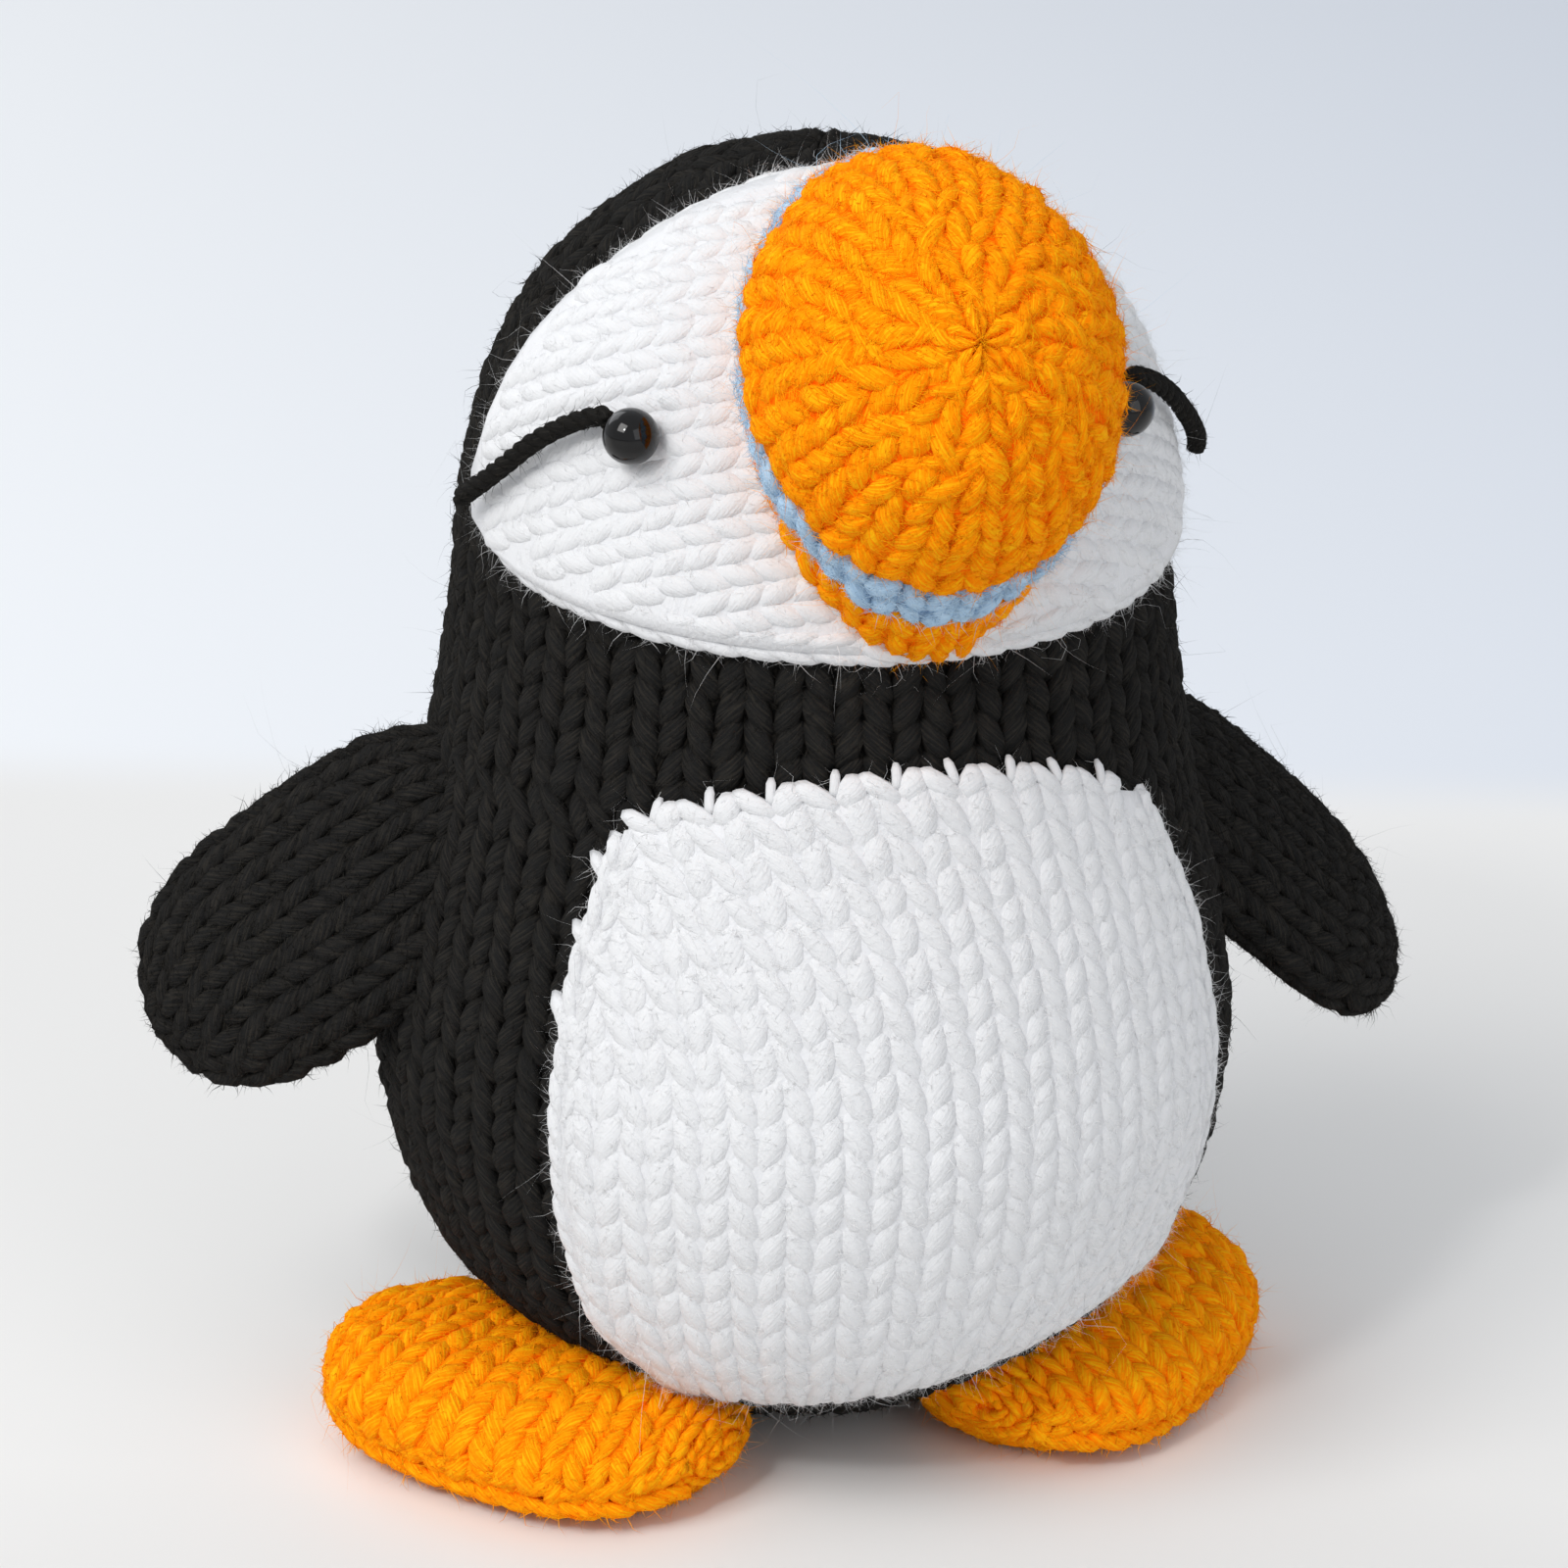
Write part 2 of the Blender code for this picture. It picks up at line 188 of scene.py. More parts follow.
# painted light and shade: the table's colours change from the left to the right
sweep = between(tree, across_view, -TABLE_SWEEP, TABLE_SWEEP)
table_sides = [mixed(tree, turn, (*near, 1), (*far, 1)) for near, far in TABLE_COLOURS]
whole_table = mixed(tree, sweep, *table_sides)
# painted shade: the table darkens towards the camera
table_painted_shade = between(tree, along_view, -TABLE_PAINTED_SHADE_END, -TABLE_PAINTED_SHADE_START, TABLE_PAINTED_SHADE)
table_with_painted_shade = add_node(tree, "VectorMath", {0: whole_table, "Scale": table_painted_shade}, operation="SCALE")
set_inputs(tree, table_shader, {"Base Color": table_with_painted_shade.outputs["Vector"], "Roughness": 0.6})
table_mesh.materials.append(table_paint)


# ---------------------------------------------------------------------------------
# The yarn is a soft, hairy wool of three plies, worked in plain knitting. Each stitch
# shows as a V of two legs, which come up from under the row below and go in under the
# row above, and fine hairs stand out all over it.

STITCH_WIDTH = 4.4 * MM
ROW_HEIGHT = 2.6 * MM
LEG_SIDES = 7
LEG_CUTS = 4
LEG_SHARES = (0, 0.2, 0.4, 0.6, 0.8, 1)
LEG_ACROSS = (0.07, 0.14, 0.22, 0.30, 0.37, 0.40)  # in stitch widths
LEG_UP = (-0.30, 0.08, 0.42, 0.76, 1.10, 1.40)  # in row heights
LEG_OUT = (-0.85, -0.10, 0.20, 0.22, -0.05, -0.85)  # in millimetres
LEG_HALF_WIDTH = (0.52, 0.90, 1.06, 1.06, 0.90, 0.50)  # in millimetres
LEG_HALF_DEPTH = (0.45, 0.80, 0.92, 0.90, 0.76, 0.42)  # in millimetres
LEG_LENGTH = 4.4 * MM
TWIST_LENGTH = 2.4 * MM
# how unlike the legs are: in width, across, up the row, in depth and in lift
LEG_UNLIKE = (0.06, 0.02, 0.05, 0.05, 0.08)
YARN_SPREAD = 40  # each leg shows another part of the yarn, out of this many turns
PLIES = 3
MAP_TOP = 0.9  # stitches fill a piece's map up to here, and its edge and lining lie above
# how many of each fit in a metre
LINT = 3200.0
FIBRES = 1500.0
FIBRE_WAVES = 1100.0
CLOUDS = 240.0
HAIR_PATCHES = 900.0
# how much each adds to the relief
RELIEF_OF_PLIES, RELIEF_OF_STRANDS, RELIEF_OF_LINT, RELIEF_OF_FIBRES = 0.30, 0.32, 0.22, 0.16
WOOL_SURFACE = {"Roughness": 0.95, "Specular IOR Level": 0.05}

chance = np.random.default_rng(7)


def yarn_group():
    """Plies, strands and colour changes of spun wool, for every knitted piece, with
    painted shade in the creases between the stitches and in the hollows of the relief.
    """
    tree = bpy.data.node_groups.new("spun wool", "ShaderNodeTree")
    face = tree.interface
    for label, kind, value in (
        ("Colour", "NodeSocketColor", (0.5, 0.5, 0.5, 1)),
        ("Crease Shade Colour", "NodeSocketColor", (0.1, 0.1, 0.1, 1)),
        ("Light Colour", "NodeSocketColor", (0.9, 0.9, 0.9, 1)),
        ("Mottle", "NodeSocketFloat", 0.3),
    ):
        socket = face.new_socket(label, in_out="INPUT", socket_type=kind)
        socket.default_value = value
    face.new_socket("Colour", in_out="OUTPUT", socket_type="NodeSocketColor")
    face.new_socket("Height", in_out="OUTPUT", socket_type="NodeSocketFloat")
    given = tree.nodes.new("NodeGroupInput").outputs
    result = tree.nodes.new("NodeGroupOutput")

    def maths(operation, first, second=0.5):
        return add_node(tree, "Math", {0: first, 1: second}, operation=operation).outputs[0]

    def add(*values):
        total = values[0]
        for value in values[1:]:
            total = maths("ADD", total, value)
        return total

    def times(first, second):
        return maths("MULTIPLY", first, second)

    on_yarn = add_node(tree, "UVMap", uv_map="Yarn").outputs["UV"]
    parts = add_node(tree, "SeparateXYZ", {0: on_yarn}).outputs
    along, around = parts["X"], parts["Y"]
    # the plies wind round the yarn
    phase = times(add(along, times(around, PLIES)), tau)
    ply = maths("POWER", add(times(maths("SINE", phase), 0.5), 0.5), 0.6)
    # strands follow the plies, long and thin
    slant = {"X": times(along, 1.6), "Y": add(times(around, 30.0), times(along, 8.0))}
    slanted = add_node(tree, "CombineXYZ", slant).outputs["Vector"]
    strands = between(tree, noise(tree, slanted, 1.0, 1.0), 0.34, 0.68)
    # loose hairs and lint have no direction
    anywhere = everywhere(tree)
    lint = between(tree, noise(tree, anywhere, LINT), 0.3, 0.7)
    clouds = noise(tree, anywhere, CLOUDS, 1.0)
    drift = add_node(tree, "TexNoise", {"Vector": anywhere, "Scale": FIBRE_WAVES})
    swing = {0: drift.outputs["Color"], 1: (0.0011, 0.0011, 0.0011), 2: anywhere}
    waves = add_node(tree, "VectorMath", swing, operation="MULTIPLY_ADD").outputs["Vector"]
    cracks = {"Vector": waves, "Scale": FIBRES}
    crossing = add_node(tree, "TexVoronoi", cracks, feature="DISTANCE_TO_EDGE")
    fibres = maths("SUBTRACT", 1.0, between(tree, crossing.outputs["Distance"], 0.0, 0.09))
    height = add(
        times(ply, RELIEF_OF_PLIES),
        times(strands, RELIEF_OF_STRANDS),
        times(lint, RELIEF_OF_LINT),
        times(fibres, RELIEF_OF_FIBRES),
    )
    # painted shade: the deep colour is mixed in where the yarn dives under its neighbours
    # and in the hollows of its relief, where shade falls
    depth = add_node(tree, "Attribute", attribute_name="depth").outputs["Fac"]
    unshaded_unclamped = maths("SUBTRACT", add(times(depth, 1.25), times(height, 0.35)), 0.45)
    unshaded = add_node(tree, "Clamp", {"Value": unshaded_unclamped}).outputs["Result"]
    colour = mixed(tree, unshaded, given["Crease Shade Colour"], given["Colour"])
    light_share = times(between(tree, strands, 0.3, 1.0), add(clouds, 0.3))
    light_share = times(add(light_share, times(fibres, 0.2)), given["Mottle"])
    colour = mixed(tree, light_share, colour, given["Light Colour"])
    set_inputs(tree, result, {"Colour": colour, "Height": height})
    return tree


WOOL = yarn_group()


def wool(name, colour, deep, light, mottle, sheen, bump):
    """A wool of one colour, with its sheen set on the shader. Its deep colour is the
    painted shade in the creases between the stitches.
    """
    material, tree, shader = new_paint(name)
    colours = {"Colour": (*colour, 1), "Crease Shade Colour": (*deep, 1), "Light Colour": (*light, 1)}
    spun = add_node(tree, "Group", node_tree=WOOL)
    set_inputs(tree, spun, {**colours, "Mottle": mottle})
    bumps = {"Strength": bump, "Distance": 0.3 * MM, "Height": spun.outputs["Height"]}
    relief = add_node(tree, "Bump", bumps).outputs["Normal"]
    sheens = {"Sheen Weight": sheen, "Sheen Roughness": 0.45, "Sheen Tint": (*light, 1)}
    surface = {"Base Color": spun.outputs["Colour"], "Normal": relief}
    set_inputs(tree, shader, {**surface, **sheens, **WOOL_SURFACE})
    return material


def mesh_arrays(bm):
    """The points, the quads and the triangles of a bmesh, which is then freed."""
    bm.verts.index_update()
    verts = np.array([v.co for v in bm.verts])
    quads = [[v.index for v in f.verts] for f in bm.faces if len(f.verts) == 4]
    tris = [[v.index for v in f.verts] for f in bm.faces if len(f.verts) == 3]
    bm.free()
    return verts, np.array(quads, int).reshape(-1, 4), np.array(tris, int).reshape(-1, 3)


def template(segments, far_radius, cuts):
    """A short upright tube from -0.5 to 0.5, closed at both ends, as arrays."""
    bm = bmesh.new()
    shape = {"segments": segments, "radius1": 1, "radius2": far_radius, "depth": 1}
    bmesh.ops.create_cone(bm, cap_ends=True, cap_tris=segments > 3, **shape)
    if far_radius == 0:
        bmesh.ops.remove_doubles(bm, verts=bm.verts, dist=1e-6)
    upright = [e for e in bm.edges if abs(e.verts[0].co.z - e.verts[1].co.z) > 0.5]
    if cuts:
        bmesh.ops.subdivide_edges(bm, edges=upright, cuts=cuts)
    bmesh.ops.recalc_face_normals(bm, faces=bm.faces)
    return mesh_arrays(bm)


leg_verts, LEG_QUADS, LEG_TRIS = template(LEG_SIDES, 1, LEG_CUTS)
leg_share = leg_verts[:, 2] + 0.5


def along_leg(values):
    return np.interp(leg_share, LEG_SHARES, values)


def unit(directions):
    """The same directions, each with a length of one."""
    return directions / np.linalg.norm(directions, axis=-1, keepdims=True)


def added_up(steps):
    """The sum of the steps up to each point, from nought."""
    return np.concatenate([[0], np.cumsum(steps)])


def run_along(points):
    """How far along a line of points each one lies."""
    return added_up(np.linalg.norm(np.diff(points, axis=0), axis=1))


run_across = np.gradient(np.array(LEG_ACROSS) * STITCH_WIDTH)
run_up = np.gradient(np.array(LEG_UP) * ROW_HEIGHT)
run_out = np.gradient(np.array(LEG_OUT) * MM)
heading = unit(np.stack([along_leg(run) for run in (run_across, run_up, run_out)], 1))
sideways = unit(np.stack([heading[:, 1], -heading[:, 0], np.zeros(len(heading))], 1))
outward = np.cross(sideways, heading)
leg_line = ((LEG_ACROSS, STITCH_WIDTH), (LEG_UP, ROW_HEIGHT), (LEG_OUT, MM))
centre_line = np.stack([along_leg(values) * size for values, size in leg_line], 1)
leg_shape = (
    centre_line
    + sideways * (leg_verts[:, 0] * along_leg(LEG_HALF_WIDTH) * MM)[:, None]
    + outward * (leg_verts[:, 1] * along_leg(LEG_HALF_DEPTH) * MM)[:, None]
)
# the round is counted from the underside, where its ends meet out of sight
leg_round = (np.arctan2(leg_verts[:, 0], -leg_verts[:, 1]) / tau) % 1.0
leg_depth = np.clip((leg_shape[:, 2] / MM + 1.0) / 1.9, 0, 1)


def on_surface(place, across, along, middle):
    """Points on a surface, and the directions straight out of it there."""
    step = 1e-4
    points = place(across, along)
    side = place(across + step, along) - place(across - step, along)
    up = place(across, along + step) - place(across, along - step)
    out = np.cross(side, up)
    out /= np.maximum(np.linalg.norm(out, axis=-1, keepdims=True), 1e-15)
    facing = np.sum(out * (points - np.array(middle)), axis=-1).mean()
    return points, out if facing > 0 else -out


def knit(place, cells, middle, lift, plump=1.0, wander=1.0, deep=1.0):
    """Two legs for each cell (left, right, upper left, upper right, along, upper
    along, bake left, bake low, bake width, bake height) of a knitted surface."""
    cells = np.asarray(cells, float)
    made = []
    for hand in (-1, 1):
        count = len(cells)
        jitter = chance.normal(0, wander, (count, 5)) * LEG_UNLIKE
        wide = plump * (1 + jitter[:, 0])
        slack = leg_shape[None, :, 0] - centre_line[None, :, 0]
        across = hand * (centre_line[None, :, 0] + slack * wide[:, None]) / STITCH_WIDTH
        across = across + jitter[:, 1][:, None]
        up = leg_shape[None, :, 1] / ROW_HEIGHT + jitter[:, 2][:, None]
        out = leg_shape[None, :, 2] * deep * (plump + jitter[:, 3])[:, None]
        out = out + lift + (MM * deep * jitter[:, 4])[:, None]
        left, right, upper_left, upper_right, low, high = cells[:, :6].T
        here = ((left + right) / 2)[:, None] + across * (right - left)[:, None]
        above = ((upper_left + upper_right) / 2)[:, None]
        above = above + across * (upper_right - upper_left)[:, None]
        sideways_place = here * (1 - up) + above * up
        along_place = low[:, None] + (high - low)[:, None] * up
        points, normals = on_surface(place, sideways_place, along_place, middle)
        verts = points + normals * out[..., None]
        length = leg_share * LEG_LENGTH / TWIST_LENGTH
        along_yarn = chance.uniform(0, YARN_SPREAD, count)[:, None] + length[None, :]
        yarn = np.stack([along_yarn, np.broadcast_to(leg_round, along_yarn.shape)], -1)
        bake_left, bake_low, bake_wide, bake_high = cells[:, 6:10].T
        # each leg has its own half of the stitch's patch, with a margin round it
        own_left = bake_left + bake_wide * (0.04 if hand < 0 else 0.54)
        bake_across = own_left[:, None] + (bake_wide * 0.42)[:, None] * leg_round[None, :]
        bake_up = bake_low[:, None] + (bake_high * 0.9)[:, None] * leg_share[None, :]
        bake = np.stack([bake_across, bake_up], -1)
        quads = LEG_QUADS if hand > 0 else LEG_QUADS[:, ::-1]
        tris = LEG_TRIS if hand > 0 else LEG_TRIS[:, ::-1]
        made.append(repeat(verts, quads, tris, yarn, bake, leg_depth, normals))
    return join(made)


def repeat(verts, quads, tris, yarn, bake, depth, out=None):
    """One bundle of mesh arrays from the points of many like strands."""
    count, each = verts.shape[:2]
    steps = (np.arange(count) * each)[:, None, None]
    return {
        "verts": verts.reshape(-1, 3),
        "quads": (quads[None] + steps).reshape(-1, 4),
        "tris": (tris[None] + steps).reshape(-1, 3),
        "yarn": yarn.reshape(-1, 2),
        "bake": bake.reshape(-1, 2),
        "depth": np.broadcast_to(depth, (count, each)).reshape(-1),
        "out": (verts * 0 if out is None else out).reshape(-1, 3),
    }


def join(bundles):
    """Several bundles of mesh arrays as one."""
    starts = np.cumsum([0] + [len(b["verts"]) for b in bundles])
    joined = {}
    for key in bundles[0]:
        moved = [
            b[key] + (start if key in ("quads", "tris") else 0)
            for b, start in zip(bundles, starts)
        ]
        joined[key] = np.concatenate(moved)
    return joined


def piece(name, bundle, material, slot, *nodes):
    """A finished piece from a bundle, riding on the frame."""
    mesh = bpy.data.meshes.new(name)
    verts = bundle["verts"].copy()
    verts[:, 2] = np.maximum(verts[:, 2], 0.02 * MM)  # nothing goes through the table
    mesh.from_pydata(verts.tolist(), [], bundle["quads"].tolist() + bundle["tris"].tolist())
    corners = np.empty(len(mesh.loops), np.int32)
    mesh.loops.foreach_get("vertex_index", corners)
    for label, key in (("OFBake", "bake"), ("Yarn", "yarn")):
        layer = mesh.uv_layers.new(name=label)
        layer.data.foreach_set("uv", bundle[key][corners].astype(np.float32).ravel())
    depth = mesh.attributes.new("depth", "FLOAT", "POINT")
    depth.data.foreach_set("value", bundle["depth"].astype(np.float32))
    mesh.polygons.foreach_set("use_smooth", np.ones(len(mesh.polygons), bool))
    mesh.materials.append(material)
    mesh.update()
    made = add_object(name, mesh)
    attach(made, "root")
    if nodes:
        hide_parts(*nodes)
    return made


def strand(points, radius, out, sides=8, flat=1.0):
    """A closed round strand of yarn along a line of points."""
    points = np.asarray(points, float)
    shape, quads, tris = template(sides, 1, len(points) - 2)
    level = np.clip(np.rint((shape[:, 2] + 0.5) * (len(points) - 1)).astype(int), 0, None)
    heading = unit(np.gradient(points, axis=0))
    side = unit(np.cross(heading, out))
    top = np.cross(side, heading)
    from_end = np.minimum(np.arange(len(points)), np.arange(len(points))[::-1])
    size = radius * np.minimum(1, 0.55 + 0.45 * from_end)
    x, y = shape[:, 0] * size[level], shape[:, 1] * size[level] * flat
    verts = points[level] + side[level] * x[:, None] + top[level] * y[:, None]
    run = run_along(points)
    turn = (np.arctan2(shape[:, 0], shape[:, 1]) / tau) % 1.0
    yarn = np.stack([run[level] / TWIST_LENGTH + chance.uniform(0, YARN_SPREAD), turn], -1)
    # each strand has one narrow upright strip of the map
    bake = np.stack([turn * 0.03 + 0.3, 0.1 + 0.8 * level / len(points)], -1)
    return repeat(verts[None], quads, tris, yarn[None], bake[None], np.full(len(verts), 0.9))


# each kind of hair: its bends, length, stand off the yarn, thickness and curl
LYING_HAIR = (template(3, 0, 1), 0.95 * MM, 0.10, 0.072 * MM, 0.5)
NAP_HAIR = (template(3, 0, 0), 0.45 * MM, 0.4, 0.05 * MM, 0.6)
STRAY_HAIR = (template(3, 0, 4), 1.6 * MM, 0.45, 0.04 * MM, 1.9)
FRINGE_HAIR = (template(3, 0, 4), 0.85 * MM, 0.35, 0.034 * MM, 2.2)
LYING_FOR_EACH_STRAY = 30
HAIR_OUTER_SHARE = 0.55  # hairs grow where the yarn lies at least this far out
HAIR_ROOT_DEPTH = 0.05 * MM
HAIR_BAKE_PATCH = 0.0012
HAIR_SIDE_SHARE = 0.3  # how far a root leans out from its own side of the yarn
# the lengths: the least, the shape and the size of their spread, and the most
HAIR_LENGTHS = (0.3, 2.0, 0.35, 1.8)


def hairs(bundle, kind, count, reach=1.0, fine=1.0):
    """Fine curved hairs that grow from the outer side of a bundle's yarn."""
    (shape_verts, shape_quads, shape_tris), length, stand, thickness, curl = kind
    length = length * reach
    thickness = thickness * fine
    verts, quads = bundle["verts"], bundle["quads"]
    quads = quads[bundle["depth"][quads].mean(1) > HAIR_OUTER_SHARE]
    corners = verts[quads]
    normals = np.cross(corners[:, 2] - corners[:, 0], corners[:, 3] - corners[:, 1])
    area = np.linalg.norm(normals, axis=1)
    chosen = chance.choice(len(quads), count, p=area / area.sum())
    normals = normals[chosen] / area[chosen][:, None]
    out = unit(HAIR_SIDE_SHARE * normals + bundle["out"][quads[chosen, 0]])
    mix = chance.dirichlet((1, 1, 1, 1), count)
    roots = np.einsum("nk,nkd->nd", mix, corners[chosen])
    bake = np.einsum("nk,nkd->nd", mix, bundle["bake"][quads[chosen]])
    wild = chance.normal(0, 1, (count, 3))
    flat = unit(wild - out * np.sum(wild * out, axis=1, keepdims=True))
    rise = stand * chance.uniform(0.3, 1.7, count)[:, None]
    heading = unit(flat * (1 - stand) + out * rise)
    bend = unit(np.cross(heading, chance.normal(0, 1, (count, 3))))
    second = np.cross(heading, bend)
    least, spread, size, most = HAIR_LENGTHS
    lengths = length * np.minimum(least + chance.gamma(spread, size, count), most)
    curls = curl * chance.normal(0, 1, (count, 3))
    roots = roots - normals * HAIR_ROOT_DEPTH
    share = (shape_verts[:, 2] + 0.5)[None, :, None]
    run = lengths[:, None, None]
    # a hair bows to one side along its length, and waves to the other
    bow = share * share
    wave = np.sin(share * (3.0 + curls[:, 2][:, None, None]) * 1.5) * share
    path = roots[:, None] + heading[:, None] * run * share
    path = path + bend[:, None] * run * bow * curls[:, 0][:, None, None]
    path = path + second[:, None] * run * wave * 0.5 * curls[:, 1][:, None, None]
    body = bend[:, None] * shape_verts[None, :, 0:1] * thickness / 2
    body = body + second[:, None] * shape_verts[None, :, 1:2] * thickness / 2
    spot = bake[:, None] + HAIR_BAKE_PATCH * shape_verts[None, :, :2]
    yarn = np.zeros_like(spot) + chance.uniform(0, YARN_SPREAD, (count, 1, 1))
    depth = np.ones(len(shape_verts))
    return repeat(path + body, shape_quads, shape_tris, yarn, spot, depth)


def bloom(name, bundle, amount, material, slot, reach=1.0, fine=1.0, nap=1.0, fringe=None):
    """The bloom of a wool: a veil of hairs that lie over the stitches, a nap of short
    ones that stand, and a few long curled strays. An edge can have a fringe of its own."""
    parts = [
        hairs(bundle, LYING_HAIR, amount, reach, fine),
        hairs(bundle, NAP_HAIR, int(amount * nap), reach, fine),
        hairs(bundle, STRAY_HAIR, amount // LYING_FOR_EACH_STRAY),
    ]
    if fringe:
        edge, edge_amount = fringe
        parts.append(hairs(edge, FRINGE_HAIR, edge_amount))
    piece(name, join(parts), material, slot)


# The second colour of each wool is painted shade for its creases.
BLACK_WOOL = wool(
    "black wool", (0.014, 0.014, 0.014), (0.005, 0.005, 0.005), (0.05, 0.043, 0.034), 0.4, 0.1, 0.7
)
# the white wool's crease colour is painted light: a little lighter than its main colour, it lifts
# the shade in its creases
WHITE_WOOL = wool(
    "white wool", (0.75, 0.755, 0.77), (0.76, 0.765, 0.785), (0.81, 0.81, 0.81), 0.4, 0.1, 0.3
)
ORANGE_WOOL = wool(
    "orange wool", (1.0, 0.28, 0.001), (1.0, 0.14, 0.0), (1.0, 0.50, 0.006), 1.0, 0.05, 0.35
)
BLUE_WOOL = wool(
    "pale blue wool", (0.43, 0.61, 0.80), (0.20, 0.33, 0.52), (0.66, 0.80, 0.90), 0.5, 0.1, 0.4
)


def loose_hair(name, colour, other):
    """Single loose hairs of a wool, too fine to show its plies."""
    material, tree, shader = new_paint(name)
    patches = noise(tree, everywhere(tree), HAIR_PATCHES, 0.0)
    tint = mixed(tree, patches, (*colour, 1), (*other, 1))
    set_inputs(tree, shader, {"Base Color": tint, **WOOL_SURFACE})
    return material


BLACK_HAIR = loose_hair("black hair", (0.010, 0.010, 0.010), (0.036, 0.033, 0.028))
# the white hairs are painted lighter than the white wool: painted light that lifts their shaded
# sides
WHITE_HAIR = loose_hair("white hair", (0.90, 0.90, 0.905), (0.95, 0.95, 0.95))
ORANGE_HAIR = loose_hair("orange hair", (1.0, 0.24, 0.001), (1.0, 0.52, 0.006))
BLUE_HAIR = loose_hair("pale blue hair", (0.42, 0.60, 0.79), (0.64, 0.79, 0.90))


# ---------------------------------------------------------------------------------
# The body and the head are one black bag, knitted in the round from the underside up
# and drawn together at the crown, then stuffed firmly. It narrows a little at the neck.

SKITTLE_OUTLINE = [
    (7.5, 0.0),
    (16.8, 4.2),
    (27.9, 14.0),
    (32.3, 27.5),
    (31.2, 40.0),
    (28.4, 53.0),
    (26.7, 64.0),
    (25.5, 75.0),
    (21.5, 85.9),
    (12.9, 94.1),
    (4.7, 97.3),
    (0.0, 97.7),
]
NECK_HEIGHT = 62.5 * MM
HEAD_CENTRE = np.array((0, 0, 72.0)) * MM
INSIDE = (0, 0, 45 * MM)
BLACK_ROW = 2.4 * MM
BLACK_ROUNDS = (8, 16, 24, 32, 40, 44)  # stitches in a round, by its size
BLACK_SINK = -0.6 * MM
BLACK_RELIEF = 0.75
LINING_DEPTH = 0.6 * MM
LINING_FOOT = 1.6 * MM
LINING_CROWN = 95.9 * MM
LINING_RINGS = 24
LINING_SIDES = 44
BODY_HAIRS = 12000
HEAD_HAIRS = 8000


def smooth_curve(points, steps):
    """A smooth curve through the given points, with more points in between."""
    points = np.array(points, float)
    first = 2 * points[0] - points[1]
    last = 2 * points[-1] - points[-2]
    points = np.vstack([first, points, last])
    share = (np.arange(steps) / steps)[:, None]
    curve = []
    for before, start, end, after in zip(points, points[1:], points[2:], points[3:]):
        stretch = 2 * start + (end - before) * share
        stretch = stretch + (2 * before - 5 * start + 4 * end - after) * share**2
        stretch = stretch + (3 * start - before - 3 * end + after) * share**3
        curve.append(0.5 * stretch)
    return np.vstack([*curve, points[-2]])


fine_outline = smooth_curve(SKITTLE_OUTLINE, 12) * MM
fine_outline = np.vstack([[0, 0], fine_outline])
outline_run = run_along(fine_outline)
BODY_RUN = outline_run[-1]


def turned_round(angle, radius, height):
    """Points round the upright middle line. The front is at an angle of nought."""
    return np.stack([radius * np.sin(angle), -radius * np.cos(angle), height], -1)


def body_place(angle, run):
    """A point on the bag, this far round and this far up along its side."""
    run = np.clip(run, 1e-6, BODY_RUN - 1e-6)
    radius, height = (np.interp(run, outline_run, fine_outline[:, k]) for k in (0, 1))
    return turned_round(angle, radius, height)


def skittle_radius(height):
    return np.interp(height, fine_outline[1:, 1], fine_outline[1:, 0])


def rounds(counts, starts):
    """Cells for rows worked in the round, with these many stitches in each row. A
    stitch leads on into the stitch that it becomes, so that decreases lean in."""
    cells = []
    total = len(counts)
    for row, count in enumerate(counts):
        following = counts[min(row + 1, total - 1)]
        for stitch in range(count):
            onward = stitch
            if following < count:
                onward = min(int(stitch * following / count), following - 1)
            if following > count:
                onward = int(stitch * following / count)
            turn, next_turn = tau / count, tau / following
            left = stitch * turn - pi
            upper = onward * next_turn - pi
            if following != count:
                centre = left + turn / 2
                upper = centre - next_turn / 2 + 0.5 * (upper + next_turn / 2 - centre)
            place = (left, left + turn, upper, upper + next_turn, *starts[row : row + 2])
            bake = (stitch / count, row / total * MAP_TOP, 1 / count, MAP_TOP / total)
            cells.append((*place, *bake))
    return np.array(cells)


body_rows = int(round(BODY_RUN / BLACK_ROW))
row_starts = np.linspace(0, BODY_RUN, body_rows + 1)
body_counts = []
for start in row_starts[:-1]:
    row_middle = start + BODY_RUN / body_rows / 2
    row_radius = np.interp(row_middle, outline_run, fine_outline[:, 0])
    fitting = max(BLACK_ROUNDS[0], int(tau * row_radius / STITCH_WIDTH) + 4)
    body_counts.append(max(count for count in BLACK_ROUNDS if count <= fitting))
black_cells = rounds(body_counts, row_starts)

# the face and the panel lie over the black knitting, so it stops a stitch inside them
FACE_OVERLAP = radians(9)
PANEL_OVERLAP = 4.5 * MM
FACE_TILT = radians(28)
FACE_HALF_SPAN = radians(84)
FACE_RISE = radians(48)
FACE_DROP = radians(38.5)
FACE_CORNER_SHARPNESS = 0.65
# the panel's edges: height, then the degrees round to its right edge and to its left
PANEL_SIDES = [
    (11, 41, 36),
    (15, 47.5, 41),
    (24, 49.5, 48.5),
    (34, 50.5, 50.5),
    (43, 49.5, 48.5),
    (50, 46.5, 42.5),
    (56, 43.5, 36.5),
]
PANEL_TOP = 55.7 * MM
PANEL_TOP_ARCH = 4.2 * MM
PANEL_FOOT = 13.4 * MM
PANEL_FOOT_SLOPE = 4.0 * MM
PANEL_FOOT_SAG = -3.6 * MM


